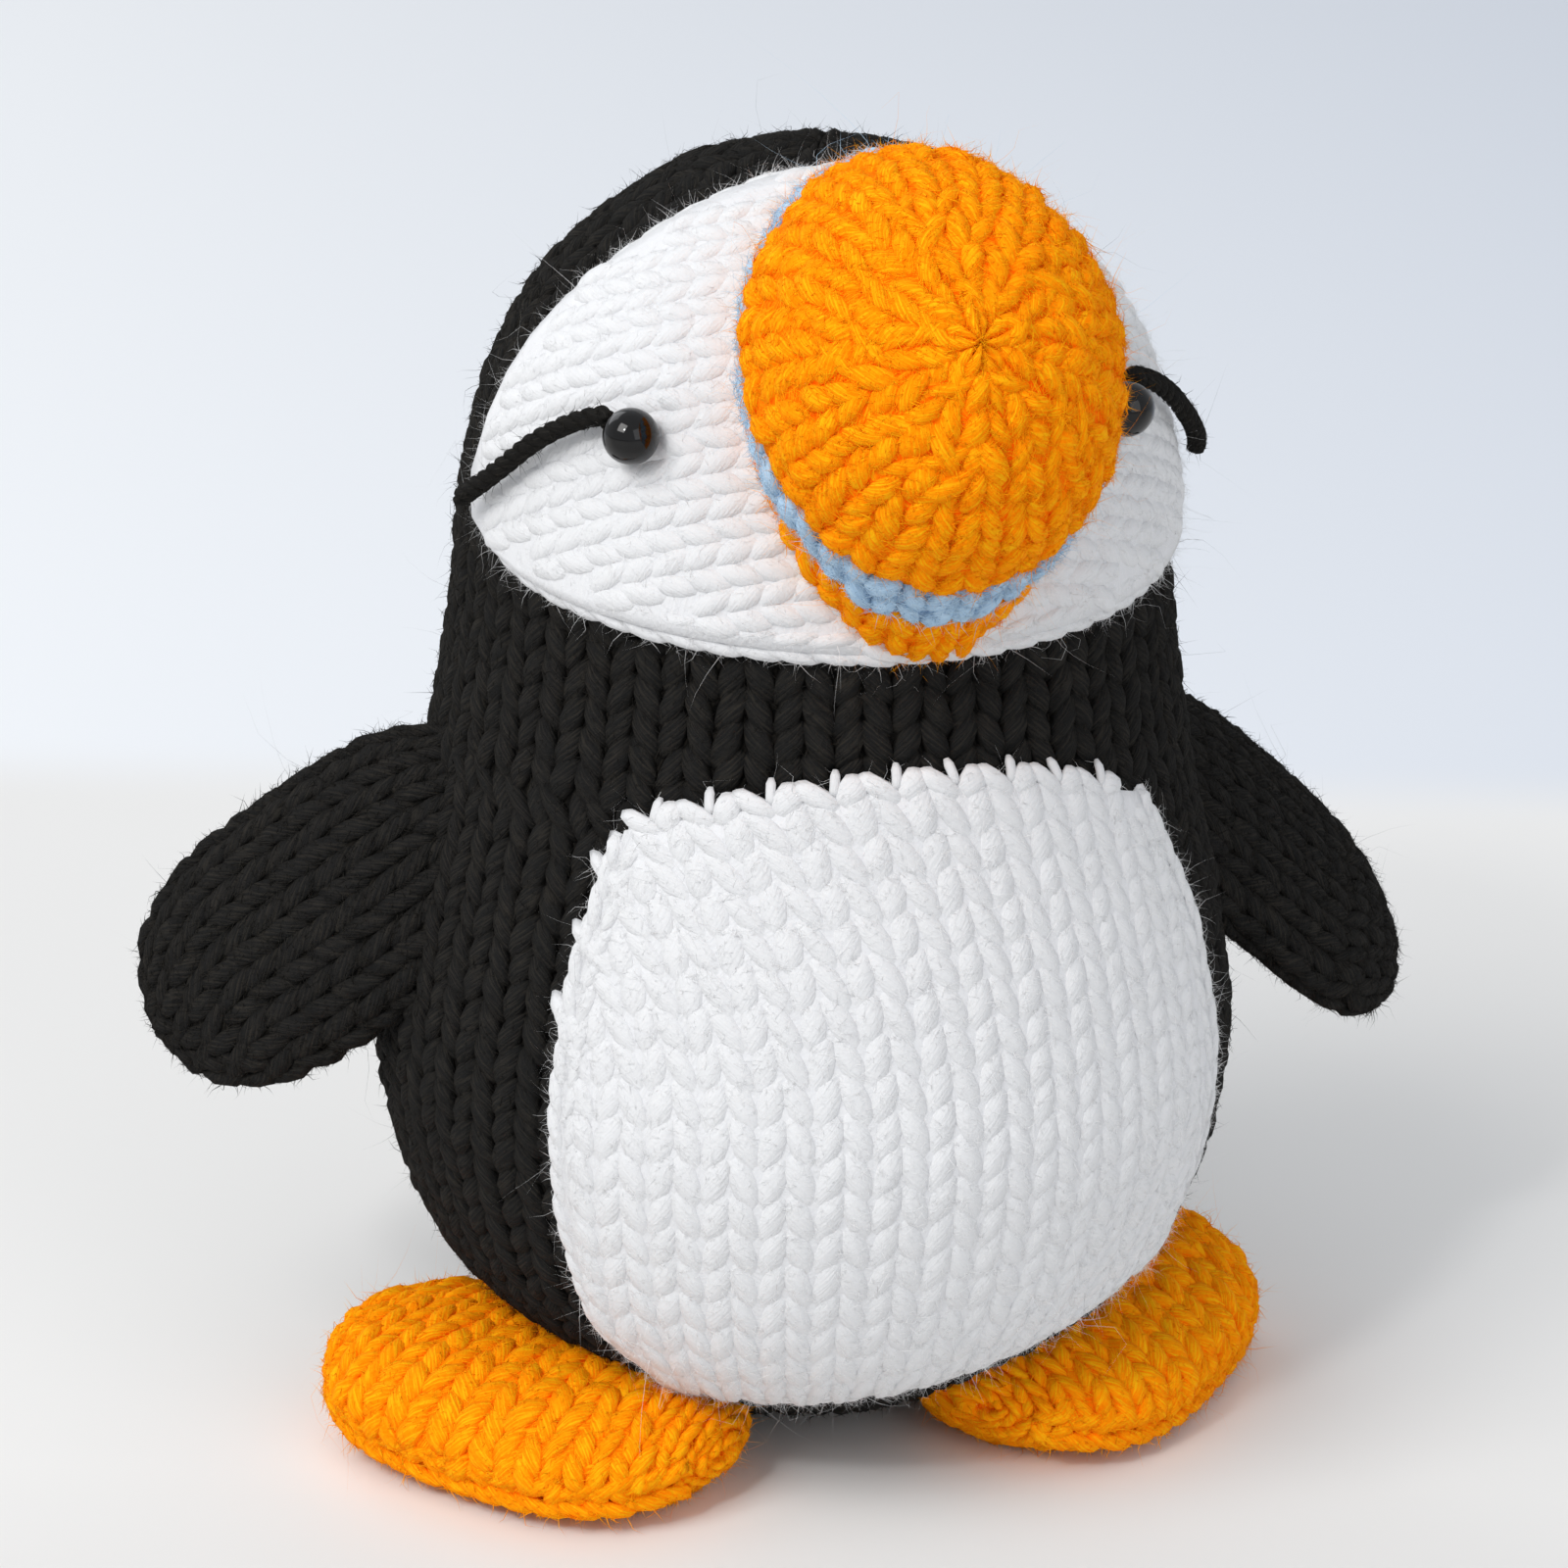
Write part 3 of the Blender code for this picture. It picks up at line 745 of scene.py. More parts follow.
def face_angles(points):
    """How far to the side and how high points lie, as seen along the tilted face."""
    spread = unit(points - HEAD_CENTRE)
    tilted_y = spread[..., 1] * cos(FACE_TILT) - spread[..., 2] * sin(FACE_TILT)
    tilted_z = spread[..., 1] * sin(FACE_TILT) + spread[..., 2] * cos(FACE_TILT)
    side = np.arctan2(spread[..., 0], -tilted_y)
    return side, np.arcsin(np.clip(tilted_z, -1, 1))


def face_fullness(side):
    share = np.clip(side / FACE_HALF_SPAN, -1, 1)
    return np.maximum(np.cos(share * pi / 2), 0.02) ** FACE_CORNER_SHARPNESS


def inside_face(side, rise, margin):
    full = face_fullness(side)
    low = rise > -FACE_DROP * full + margin
    high = rise < FACE_RISE * full - margin
    return (np.abs(side) < FACE_HALF_SPAN - margin) & low & high


def panel_ends(across):
    """The heights of the panel's foot and top at a share of its width, -1 to 1."""
    foot = PANEL_FOOT + PANEL_FOOT_SLOPE * across + PANEL_FOOT_SAG * (1 - across**2)
    return foot, PANEL_TOP + PANEL_TOP_ARCH * (1 - across**2)


def panel_limits(angle, height):
    """The panel's edge angle at this height, and its foot and top at this angle."""
    level = np.minimum(height, PANEL_TOP) / MM
    columns = np.array(PANEL_SIDES)
    right_edge = np.radians(np.interp(level, columns[:, 0], columns[:, 1]))
    left_edge = np.radians(np.interp(level, columns[:, 0], columns[:, 2]))
    edge = np.where(angle > 0, left_edge, right_edge)
    return edge, *panel_ends(np.clip(angle / edge, -1, 1))


def inside_panel(angle, height, margin):
    edge, foot, top = panel_limits(angle, height)
    within = np.abs(angle) < edge - margin / (30 * MM)
    return within & (height > foot + margin) & (height < top - margin)


def cell_middles(cells):
    return (cells[:, 0] + cells[:, 1]) / 2, (cells[:, 4] + cells[:, 5]) / 2


cell_angle, cell_run = cell_middles(black_cells)
cell_points = body_place(cell_angle, cell_run)
side, rise = face_angles(cell_points)
wrapped = (cell_angle + pi) % tau - pi
hidden = inside_face(side, rise, FACE_OVERLAP)
hidden |= inside_panel(wrapped, cell_points[:, 2], PANEL_OVERLAP)
black_cells = black_cells[~hidden]
cell_heights = cell_points[~hidden][:, 2]


def black_lining(low, high):
    """The stuffed lining under the stitches, turned about the middle."""
    bm = bmesh.new()
    heights = np.linspace(low, high, LINING_RINGS)
    profile = [(0, low)]
    profile += [(max(skittle_radius(h) - LINING_DEPTH, 0.5 * MM), h) for h in heights]
    profile += [(0, high)]
    verts = [bm.verts.new((radius, 0, height)) for radius, height in profile]
    edges = [bm.edges.new(pair) for pair in zip(verts, verts[1:])]
    turning = {"axis": (0, 0, 1), "cent": (0, 0, 0), "angle": tau, "steps": LINING_SIDES}
    bmesh.ops.spin(bm, geom=verts + edges, **turning, use_merge=True)
    bmesh.ops.remove_doubles(bm, verts=bm.verts, dist=1e-5)
    bmesh.ops.recalc_face_normals(bm, faces=bm.faces)
    return lining(bm)


def lining(bm):
    """A plain closed shape under the stitches, as a bundle at full depth, so that it takes
    the whole of its wool's painted crease shade.
    """
    verts, quads, tris = mesh_arrays(bm)
    angle = np.arctan2(verts[:, 0], -verts[:, 1]) / tau + 0.5
    span = verts[:, 2] - verts[:, 2].min()
    bake = np.stack([angle, 0.93 + 0.06 * span / max(span.max(), 1e-9)], 1)
    return {
        "verts": verts,
        "quads": quads,
        "tris": tris,
        "yarn": verts[:, :2] / TWIST_LENGTH,
        "bake": bake,
        "depth": np.zeros(len(verts)),
        "out": verts * 0,
    }


lower = cell_heights < NECK_HEIGHT
body_knitting = knit(body_place, black_cells[lower], INSIDE, BLACK_SINK, deep=BLACK_RELIEF)
head_knitting = knit(body_place, black_cells[~lower], INSIDE, BLACK_SINK, deep=BLACK_RELIEF)
black_pieces = (
    ("body", body_knitting, LINING_FOOT, NECK_HEIGHT),
    ("head", head_knitting, NECK_HEIGHT, LINING_CROWN),
)
for name, stitches, low, high in black_pieces:
    stuffed = join([stitches, black_lining(low, high)])
    made = piece(name + "_knitting", stuffed, BLACK_WOOL, "black_yarn", name)
bloom("body_hairs", body_knitting, BODY_HAIRS, BLACK_HAIR, "black_yarn")
bloom("head_hairs", head_knitting, HEAD_HAIRS, BLACK_HAIR, "black_yarn")


# ---------------------------------------------------------------------------------
# The face is a white almond, knitted sideways from one corner to the other, laid over
# the front of the head and sewn down all round. Its edge is a small rolled chain.

FACE_STITCH = radians(7.0)
FACE_STITCH_SHIFT = radians(-3)
FACE_ROW = radians(5.6)
FACE_EDGE_MARGIN = radians(3.6)
FACE_PLUMP = 1.12
HEAD_REACH = 60 * MM
HALVINGS = 34
FACE_HAIRS = 8500
FACE_FRINGE = 1200
FACE_CLOTH = ((-0.985, 0.985), (-0.97, 0.97))  # shares of the face across and up
WHITE_LIFT = 0.95 * MM
WHITE_RELIEF = 0.33
WHITE_WANDER = 0.5
CLOTH_LIFT = 1.12 * MM
CLOTH_THICKNESS = 0.6 * MM
# the rolled edge: its width, the length of a stitch, and how far it stands off
FACE_ROLL = (2.5 * MM, 2.7 * MM, 0.45 * MM)
FACE_ROLL_INSET = 1.1 * MM
FACE_ROLL_CLEAR = 1.02  # out from the middle of the head
RIM_POINTS = 90
ROLL_PLUMP = 0.9
ROLL_RELIEF = 0.45
ROLL_WANDER = 0.6
ROLL_BAKE_TOP = 0.905
ROLL_BAKE_HEIGHT = 0.02


def face_direction(side, rise):
    """Directions from the middle of the head, seen along the tilted face."""
    across = np.cos(rise) * np.sin(side)
    forward = -np.cos(rise) * np.cos(side)
    up = np.sin(rise)
    turned_y = forward * cos(FACE_TILT) + up * sin(FACE_TILT)
    turned_z = -forward * sin(FACE_TILT) + up * cos(FACE_TILT)
    return np.stack([across, turned_y, turned_z], -1)


def on_head(side, rise, lift=0.0):
    """Points on the black bag in these directions, lifted along them."""
    direction = face_direction(side, rise)
    near = np.zeros(direction.shape[:-1])
    far = near + HEAD_REACH
    for _ in range(HALVINGS):
        middle = (near + far) / 2
        points = HEAD_CENTRE + direction * middle[..., None]
        inside = np.hypot(points[..., 0], points[..., 1]) < skittle_radius(points[..., 2])
        near = np.where(inside, middle, near)
        far = np.where(inside, far, middle)
    return HEAD_CENTRE + direction * (near + lift)[..., None]


def face_knit_place(rise, side):
    """The face's stitches run sideways, so its columns are counted up the head."""
    return on_head(side, rise)


def face_share_place(across, up):
    """A place on the face from shares of its width and height, -1 to 1."""
    side = across * FACE_HALF_SPAN
    rise = up * face_fullness(side) * np.where(up > 0, FACE_RISE, FACE_DROP)
    return on_head(side, rise)


def laid_grid(place, columns, rows, across, along, middle, lift):
    """A grid laid over the surface of a piece and lifted off it."""
    bm = bmesh.new()
    bmesh.ops.create_grid(bm, x_segments=columns, y_segments=rows, size=1)
    share = (np.array([v.co for v in bm.verts]) + 1) / 2
    spread_across = across[0] + (across[1] - across[0]) * share[:, 0]
    spread_along = along[0] + (along[1] - along[0]) * share[:, 1]
    points, out = on_surface(place, spread_across, spread_along, middle)
    for vert, point, normal in zip(bm.verts, points, out):
        vert.co = point + normal * lift
    return bm


def under_cloth(place, across, along, middle):
    """A thin closed cloth under the stitches, so that no gap shows through it."""
    bm = laid_grid(place, 30, 24, across, along, middle, CLOTH_LIFT)
    bmesh.ops.recalc_face_normals(bm, faces=bm.faces)
    facing = sum(f.normal.dot(f.calc_center_median() - Vector(middle)) for f in bm.faces)
    if facing < 0:
        bmesh.ops.reverse_faces(bm, faces=bm.faces)
    bmesh.ops.solidify(bm, geom=bm.faces[:], thickness=CLOTH_THICKNESS)
    bmesh.ops.triangulate(bm, faces=[f for f in bm.faces if len(f.verts) > 4])
    return lining(bm)


def ribbon(points, middle, closed):
    """A surface that runs along a line of points, as metres across and along."""
    points = np.asarray(points, float)
    if closed:
        points = np.vstack([points, points[:1]])
    run = run_along(points)
    heading = np.gradient(points, axis=0)
    if closed:
        heading[0] = heading[-1] = points[1] - points[-2]
    heading = unit(heading)
    out = points - np.array(middle)
    out = unit(out - heading * np.sum(out * heading, axis=1, keepdims=True))
    sides = np.cross(heading, out)
    period = run[-1] if closed else None

    def place(across, along):
        base = [np.interp(along, run, points[:, k], period=period) for k in range(3)]
        side = [np.interp(along, run, sides[:, k], period=period) for k in range(3)]
        return np.stack(base, -1) + np.stack(side, -1) * across[..., None]

    return place, run[-1]


def chain(points, middle, sizes, closed=False, plump=ROLL_PLUMP, deep=ROLL_RELIEF):
    """A single chain of stitches along a line, as at a cast-off edge. Its sizes are
    its width, the length of a stitch, and how far it stands off the surface."""
    width, step, lift = sizes
    place, length = ribbon(points, middle, closed)
    count = max(3, int(round(length / step)))
    starts = np.linspace(0, length, count + 1)
    edges = (-width / 2, width / 2, -width / 2, width / 2)
    cells = []
    for i, (low, high) in enumerate(zip(starts, starts[1:])):
        bake = (i / count, ROLL_BAKE_TOP, 1 / count, ROLL_BAKE_HEIGHT)
        cells.append((*edges, low, high, *bake))
    return knit(place, cells, middle, lift, plump, ROLL_WANDER, deep)


def flat_cells(columns, rows, kept):
    """Cells of a flat piece with straight columns, where kept says so."""
    cells = []
    wide = 1 / (len(columns) - 1)
    tall = MAP_TOP / (len(rows) - 1)
    for i, (left, right) in enumerate(zip(columns, columns[1:])):
        for j, (low, high) in enumerate(zip(rows, rows[1:])):
            if kept((left + right) / 2, (low + high) / 2):
                bake = (i * wide, j * tall, wide, tall)
                cells.append((left, right, left, right, low, high, *bake))
    return np.array(cells)


BEAK_TILT = radians(30)
BEAK_AXIS = np.array((0, -cos(BEAK_TILT), sin(BEAK_TILT)))
BEAK_UPWARD = np.array((0, sin(BEAK_TILT), cos(BEAK_TILT)))
BEAK_BASE_SHIFT = 0.4 * MM
BEAK_TIP_SHIFT = -1.4 * MM
BEAK_BASE_HALF_WIDTH = 11.5 * MM
BEAK_BASE_HALF_HEIGHT = 17.6 * MM
BEAK_OVERLAP = 3.5 * MM


def under_beak(points, margin):
    """True where the beak's base covers the face by more than the margin."""
    reach = points - HEAD_CENTRE
    wide = (reach[..., 0] - BEAK_BASE_SHIFT) / (BEAK_BASE_HALF_WIDTH - margin)
    high = (reach @ BEAK_UPWARD) / (BEAK_BASE_HALF_HEIGHT - margin)
    return (wide**2 + high**2 < 1) & (reach @ BEAK_AXIS > 0)


def face_stitch_shows(rise, side):
    side, rise = np.array(side), np.array(rise)
    inside = inside_face(side, rise, FACE_EDGE_MARGIN)
    return bool(inside) and not under_beak(on_head(side, rise), BEAK_OVERLAP)


face_columns = np.arange(-6, 8) * FACE_STITCH + FACE_STITCH_SHIFT
face_rows = np.arange(-15, 16) * FACE_ROW
face_cells = flat_cells(face_columns, face_rows, face_stitch_shows)
head_middle = tuple(HEAD_CENTRE)
face_stitches = knit(
    face_knit_place, face_cells, head_middle, WHITE_LIFT, FACE_PLUMP, WHITE_WANDER, WHITE_RELIEF
)
rim_share = np.linspace(-1, 1, RIM_POINTS)
lower_rim = face_share_place(rim_share, np.full(RIM_POINTS, -1.0))
upper_rim = face_share_place(rim_share[::-1][1:-1], np.full(RIM_POINTS - 2, 1.0))
rim_points = np.vstack([lower_rim, upper_rim])
rim_middle = on_head(np.array(0.0), np.array(0.0))
inward = unit(rim_middle - rim_points)
rim_points = HEAD_CENTRE + (rim_points - HEAD_CENTRE) * FACE_ROLL_CLEAR
rim_points = rim_points + inward * FACE_ROLL_INSET
face_rim = chain(rim_points, head_middle, FACE_ROLL, closed=True)
face_cloth = under_cloth(face_share_place, *FACE_CLOTH, head_middle)
face_knitting = join([face_stitches, face_rim])
face_whole = join([face_knitting, face_cloth])
piece("face_knitting", face_whole, WHITE_WOOL, "white_yarn", "face_patch")
white_bloom = {"reach": 1.2, "fine": 0.5, "nap": 1.3}
white = (WHITE_HAIR, "white_yarn")
edge = (face_rim, FACE_FRINGE)
bloom("face_hairs", face_knitting, FACE_HAIRS, *white, **white_bloom, fringe=edge)


# ---------------------------------------------------------------------------------
# The front panel is a white flat piece in plain knitting, wider at the belly, sewn to
# the body along a chained edge. Its last row stands open at the top in little points.

PANEL_COLUMN = radians(6.98)
PANEL_COLUMN_SHIFT = radians(-18.8)
PANEL_ROWS = 18
PANEL_OPEN_ROW = 0.975  # the open last row ends at this share of the height
PANEL_LEAN_START = 32 * MM
PANEL_LEAN_HEIGHT = 24 * MM
PANEL_LEAN = (-10.2, 0.29, -0.0035)  # degrees of lean at the top, by angle in degrees
PANEL_EDGE_MARGIN = radians(3.0)
PANEL_CLOTH = ((-0.97, 0.97), (0.02, 0.955))  # shares of the panel across and up
PANEL_CHAIN = (2.6 * MM, 2.35 * MM, 0.55 * MM)
PANEL_CHAIN_SHARE = 0.95
PANEL_CHAIN_CLEAR = 1.01
EDGE_POINTS = 60
THREAD_RADIUS = 0.4 * MM
THREAD_HEIGHT = 1.6 * MM
THREAD_LEAN = 0.4 * MM
THREAD_ROOT = 0.965  # the sewing stitches start at this share of the height
THREAD_EDGE_MARGIN = radians(2)
PANEL_PLUMP = 1.06
PANEL_HAIRS = 9000
PANEL_FRINGE = 1000


def panel_knit_place(column, share):
    """A place on the panel. Its columns run straight up the belly and then lean over,
    because the piece is narrowed at its right edge towards the top."""
    angle = column
    height = 35 * MM
    for _ in range(4):
        edge, foot, top = panel_limits(angle, height)
        height = foot + (top - foot) * share
        rise = np.maximum(height - PANEL_LEAN_START, 0) / PANEL_LEAN_HEIGHT
        level = np.degrees(column)
        lean = PANEL_LEAN[0] + PANEL_LEAN[1] * level + PANEL_LEAN[2] * level**2
        angle = column + np.radians(lean) * rise**2
    return turned_round(angle, skittle_radius(height), height)


def panel_share_place(across, share):
    """The same from a share of the width at each height, -1 to 1."""
    foot, top = panel_ends(across)
    height = foot + (top - foot) * share
    angle = across * panel_limits(across, height)[0]
    return turned_round(angle, skittle_radius(height), height)


def on_panel(place, margin):
    turned = np.arctan2(place[0], -place[1])
    return bool(abs(turned) < panel_limits(turned, place[2])[0] - margin)


def panel_stitch_shows(angle, share):
    return on_panel(panel_knit_place(np.array(angle), np.array(share)), PANEL_EDGE_MARGIN)


panel_columns = np.arange(-5, 12) * PANEL_COLUMN + PANEL_COLUMN_SHIFT
panel_rows = np.append(np.linspace(0.01, 0.945, PANEL_ROWS), PANEL_OPEN_ROW)
panel_cells = flat_cells(panel_columns, panel_rows, panel_stitch_shows)
panel_stitches = knit(
    panel_knit_place, panel_cells, INSIDE, WHITE_LIFT, PANEL_PLUMP, WHITE_WANDER, WHITE_RELIEF
)
edge_rise = np.linspace(-0.01, 0.93, EDGE_POINTS)
edge_across = np.linspace(-PANEL_CHAIN_SHARE, PANEL_CHAIN_SHARE, EDGE_POINTS)
panel_edges = []
for across, share in (
    (np.full(EDGE_POINTS, PANEL_CHAIN_SHARE), edge_rise),
    (np.full(EDGE_POINTS, -PANEL_CHAIN_SHARE), edge_rise),
    (edge_across, np.full(EDGE_POINTS, 0.015)),
):
    line = panel_share_place(across, share) * PANEL_CHAIN_CLEAR
    panel_edges.append(chain(line, INSIDE, PANEL_CHAIN))
panel_cloth = under_cloth(panel_share_place, *PANEL_CLOTH, INSIDE)
# small stitches of the sewing thread stand up between the points of the open row
panel_threads = []
for column in (panel_columns[:-1] + panel_columns[1:]) / 2:
    root = panel_knit_place(column, np.array(THREAD_ROOT))
    if not on_panel(root, THREAD_EDGE_MARGIN):
        continue
    lean = chance.normal(0, THREAD_LEAN)
    out = np.array((root[0], root[1], 0)) / skittle_radius(root[2])
    leaning = np.array((-out[1] * lean, out[0] * lean, THREAD_HEIGHT))
    rise = np.linspace(0, 1, 6)[:, None]
    route = root + out * WHITE_LIFT * (1 - rise**2) + leaning * rise
    panel_threads.append(strand(route, THREAD_RADIUS, out, sides=6, flat=0.7))
panel_knitting = join([panel_stitches, *panel_edges])
panel_whole = join([panel_knitting, panel_cloth, *panel_threads])
piece("panel_knitting", panel_whole, WHITE_WOOL, "white_yarn", "belly_panel")
edge = (join(panel_edges + panel_threads), PANEL_FRINGE)
bloom("panel_hairs", panel_knitting, PANEL_HAIRS, *white, **white_bloom, fringe=edge)


# ---------------------------------------------------------------------------------
# The beak is a big stuffed cup, knitted in the round: orange next to the face, a pale
# blue band of two rows, then orange again, decreasing until the last stitches are
# drawn together on one thread. It is sewn to the face by its first row.

# distance out from the middle of the head, half width, half height
BEAK_SECTIONS = [
    (16.0, 10.4, 18.2),
    (22.0, 11.0, 18.0),
    (27.0, 12.2, 17.2),
    (31.0, 13.3, 16.1),
    (34.5, 13.4, 15.4),
    (38.5, 12.1, 13.7),
    (42.0, 9.7, 10.7),
    (44.7, 6.3, 6.8),
    (46.2, 2.5, 2.7),
    (46.5, 0.0, 0.0),
]
BEAK_GATHER_DROP = 1.6 * MM
BEAK_START = 17.2 * MM
BEAK_BAND_START = 27.6 * MM
BEAK_TIP_START = 32.4 * MM
BEAK_END = 46.5 * MM
GAP = 0.3 * MM  # between pieces of different colours
BEAK_STITCHES = 20
BEAK_TIP_ROUNDS = (20, 20, 20, 20, 20, 15, 10, 10, 5)
# thick loose yarn: how far it sinks, its plumpness, its disorder and its relief
THICK_YARN = (-0.6 * MM, 1.0, 1.8, 0.66)
LINING_SINK = -0.4 * MM
THICK_YARN_BLOOM = {"reach": 1.15, "fine": 1.25}

fine_beak = smooth_curve(BEAK_SECTIONS, 8) * MM
beak_size = fine_beak[:, 1:].mean(1)
beak_run = added_up(np.hypot(np.diff(fine_beak[:, 0]), np.diff(beak_size)))


def beak_place(angle, run):
    """A point on the beak; angle 0 is its top and run follows its side outwards."""
    run = np.clip(run, 0, beak_run[-1] - 1e-6)
    distance, half_width, half_height = (
        np.interp(run, beak_run, fine_beak[:, k]) for k in range(3)
    )
    past = np.maximum(0, (distance - BEAK_TIP_START) / (BEAK_END - BEAK_TIP_START))
    up = half_height * np.cos(angle) - BEAK_GATHER_DROP * past**2
    point = HEAD_CENTRE + distance[..., None] * BEAK_AXIS + up[..., None] * BEAK_UPWARD
    outwards = (distance - fine_beak[0, 0]) / (fine_beak[-1, 0] - fine_beak[0, 0])
    shift = BEAK_BASE_SHIFT + (BEAK_TIP_SHIFT - BEAK_BASE_SHIFT) * outwards
    sideways = half_width * np.sin(angle) + shift
    return point + np.stack([sideways, 0 * sideways, 0 * sideways], -1)


def run_at(distance):
    return np.interp(distance, fine_beak[:, 0], beak_run)


def sleeve_lining(place, around, along, middle):
    """A closed lining for a piece knitted in the round."""
    bm = laid_grid(place, around, 20, (-pi, pi), along, middle, LINING_SINK)
    bmesh.ops.remove_doubles(bm, verts=bm.verts, dist=0.02 * MM)
    bmesh.ops.holes_fill(bm, edges=[e for e in bm.edges if e.is_boundary], sides=0)
    bmesh.ops.recalc_face_normals(bm, faces=bm.faces)
    bmesh.ops.triangulate(bm, faces=[f for f in bm.faces if len(f.verts) > 4])
    return lining(bm)


beak_middle = tuple(HEAD_CENTRE + BEAK_AXIS * 28 * MM)
orange = (ORANGE_WOOL, ORANGE_HAIR, "orange_yarn")
blue = (BLUE_WOOL, BLUE_HAIR, "blue_yarn")
band_runs = run_at(BEAK_BAND_START - GAP / 2), run_at(BEAK_BAND_START + GAP / 2)
tip_runs = run_at(BEAK_TIP_START - GAP / 2), run_at(BEAK_TIP_START + GAP / 2)
beak_parts = (
    ("beak_base", (BEAK_STITCHES,) * 4, run_at(BEAK_START), band_runs[0], 4500, *orange),
    ("beak_band", (BEAK_STITCHES,) * 2, band_runs[1], tip_runs[0], 4500, *blue),
    ("beak_tip", BEAK_TIP_ROUNDS, tip_runs[1], beak_run[-1], 12500, *orange),
)
for name, counts, low, high, hair_count, yarn, hair, slot in beak_parts:
    cells = rounds(counts, np.linspace(low, high, len(counts) + 1))
    stitches = knit(beak_place, cells, beak_middle, *THICK_YARN)
    inner = sleeve_lining(beak_place, 30, (low, high - GAP), beak_middle)
    made = piece(name + "_knitting", join([stitches, inner]), yarn, slot, name)
    bloom(name + "_hairs", stitches, hair_count, hair, slot, **THICK_YARN_BLOOM)


# ---------------------------------------------------------------------------------
# The eyes are round glossy black beads, sewn on through the face, and from each a
# single length of black yarn is couched down along the face to its corner.

FACE_FABRIC = 1.5 * MM
EYE_RADIUS = 2.0 * MM
# degrees to the side and up, seen from the middle of the head along the tilted face
EYE_PLACES = {"left": (36.1, -1.1), "right": (42.2, 0.5)}
EYE_STAND = 1.1 * MM
EYE_LINE_RADIUS = 0.7 * MM
EYE_LINE_TWIST = 3.4 * MM
EYE_LINE_HAIRS = 300
PLY_SWING = 0.46  # in radii of the whole yarn, as is the next
PLY_RADIUS = 0.62
EYE_LINE_ROUTES = {
    "left": [(39.3, 4.1), (46.0, 3.9), (52.4, 2.8), (59.0, 1.2), (68.0, -0.2), (78.0, -1.0)],
    "right": [(46.8, 4.4), (52.4, 4.4), (59.3, 3.3), (66.2, 1.4), (72.1, 0.1), (79.0, -0.9)],
}
SIDES = {"left": 1, "right": -1}

bead_gloss, tree, bead_shader = new_paint("black bead")
bead_tint = add_node(tree, "ValToRGB", {"Fac": noise(tree, everywhere(tree), 700.0)})
bead_tint.color_ramp.elements[0].color = (0.002, 0.002, 0.0022, 1)
bead_tint.color_ramp.elements[1].color = (0.005, 0.0045, 0.0045, 1)
gloss = {"Roughness": 0.06, "Specular IOR Level": 0.4}
set_inputs(tree, bead_shader, {"Base Color": bead_tint.outputs["Color"], **gloss})


def plied(points, radius, out, turn_length):
    """Several thin strands twisted round one line, as a thick yarn is."""
    heading = unit(np.gradient(points, axis=0))
    side = unit(np.cross(heading, out))
    top = np.cross(side, heading)
    run = run_along(points)
    made = []
    for ply in range(PLIES):
        angle = tau * (run / turn_length + ply / PLIES)
        swing = side * np.sin(angle)[:, None] + top * np.cos(angle)[:, None]
        made.append(strand(points + swing * radius * PLY_SWING, radius * PLY_RADIUS, out))
    return join(made)


for name, sign in SIDES.items():
    bm = bmesh.new()
    bmesh.ops.create_uvsphere(bm, u_segments=48, v_segments=32, radius=EYE_RADIUS)
    lift = GAP + FACE_FABRIC + EYE_STAND
    to_side, up = EYE_PLACES[name]
    centre = on_head(np.array(sign * radians(to_side)), np.array(radians(up)), lift)
    bmesh.ops.translate(bm, verts=bm.verts, vec=Vector(centre))
    eye_mesh = bpy.data.meshes.new("eye_bead_" + name)
    bm.to_mesh(eye_mesh)
    bm.free()
    eye_mesh.polygons.foreach_set("use_smooth", np.ones(len(eye_mesh.polygons), bool))
    eye_mesh.materials.append(bead_gloss)
    eye = add_object("eye_bead_" + name, eye_mesh)
    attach(eye, "root")
    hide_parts("eye_" + name)
    # the line comes out from under the upper outer side of the bead
    route = np.array([EYE_PLACES[name]] + EYE_LINE_ROUTES[name])
    route[0] = 0.25 * route[0] + 0.75 * route[1]
    route = np.radians(smooth_curve(route, 12))
    line_lift = 2 * GAP + FACE_FABRIC + EYE_LINE_RADIUS
    line_points = on_head(sign * route[:, 0], route[:, 1], line_lift)
    line = plied(line_points, EYE_LINE_RADIUS, line_points - HEAD_CENTRE, EYE_LINE_TWIST)
    piece("eye_yarn_" + name, line, BLACK_WOOL, "black_yarn", "eye_line_" + name)
    bloom("eye_yarn_hairs_" + name, line, EYE_LINE_HAIRS, BLACK_HAIR, "black_yarn", reach=0.8)


# ---------------------------------------------------------------------------------
# Each wing is a flat black mitten, lightly stuffed, sewn to the side of the body by
# its open end. It is knitted lengthwise, and its edges are a little bumpy.

WING_LENGTH = 35.5 * MM
WING_WIDTH = 19.5 * MM
WING_THICKNESS = 6.8 * MM
WING_ROOT_HEIGHT = 51.6 * MM
WING_ROOT_ANGLE = radians(82)
WING_SINK = 5 * MM
# degrees back from straight out, down from level, and round its own length
WING_POSES = {"right": (27, 38.4, -23), "left": (12, 41.8, -49)}
WING_COUNTS = [13] * 11 + [12, 10, 8, 5]
WING_BUMP = 0.5 * MM
WING_YARN = (-0.5 * MM, 1.1, 1.0, 0.55)
WING_HAIRS = 5000
PILLOW_SQUARENESS = 3.2
PILLOW_ENDS = 1.6  # how blunt its ends are
BURIED_DEPTH = 2 * MM


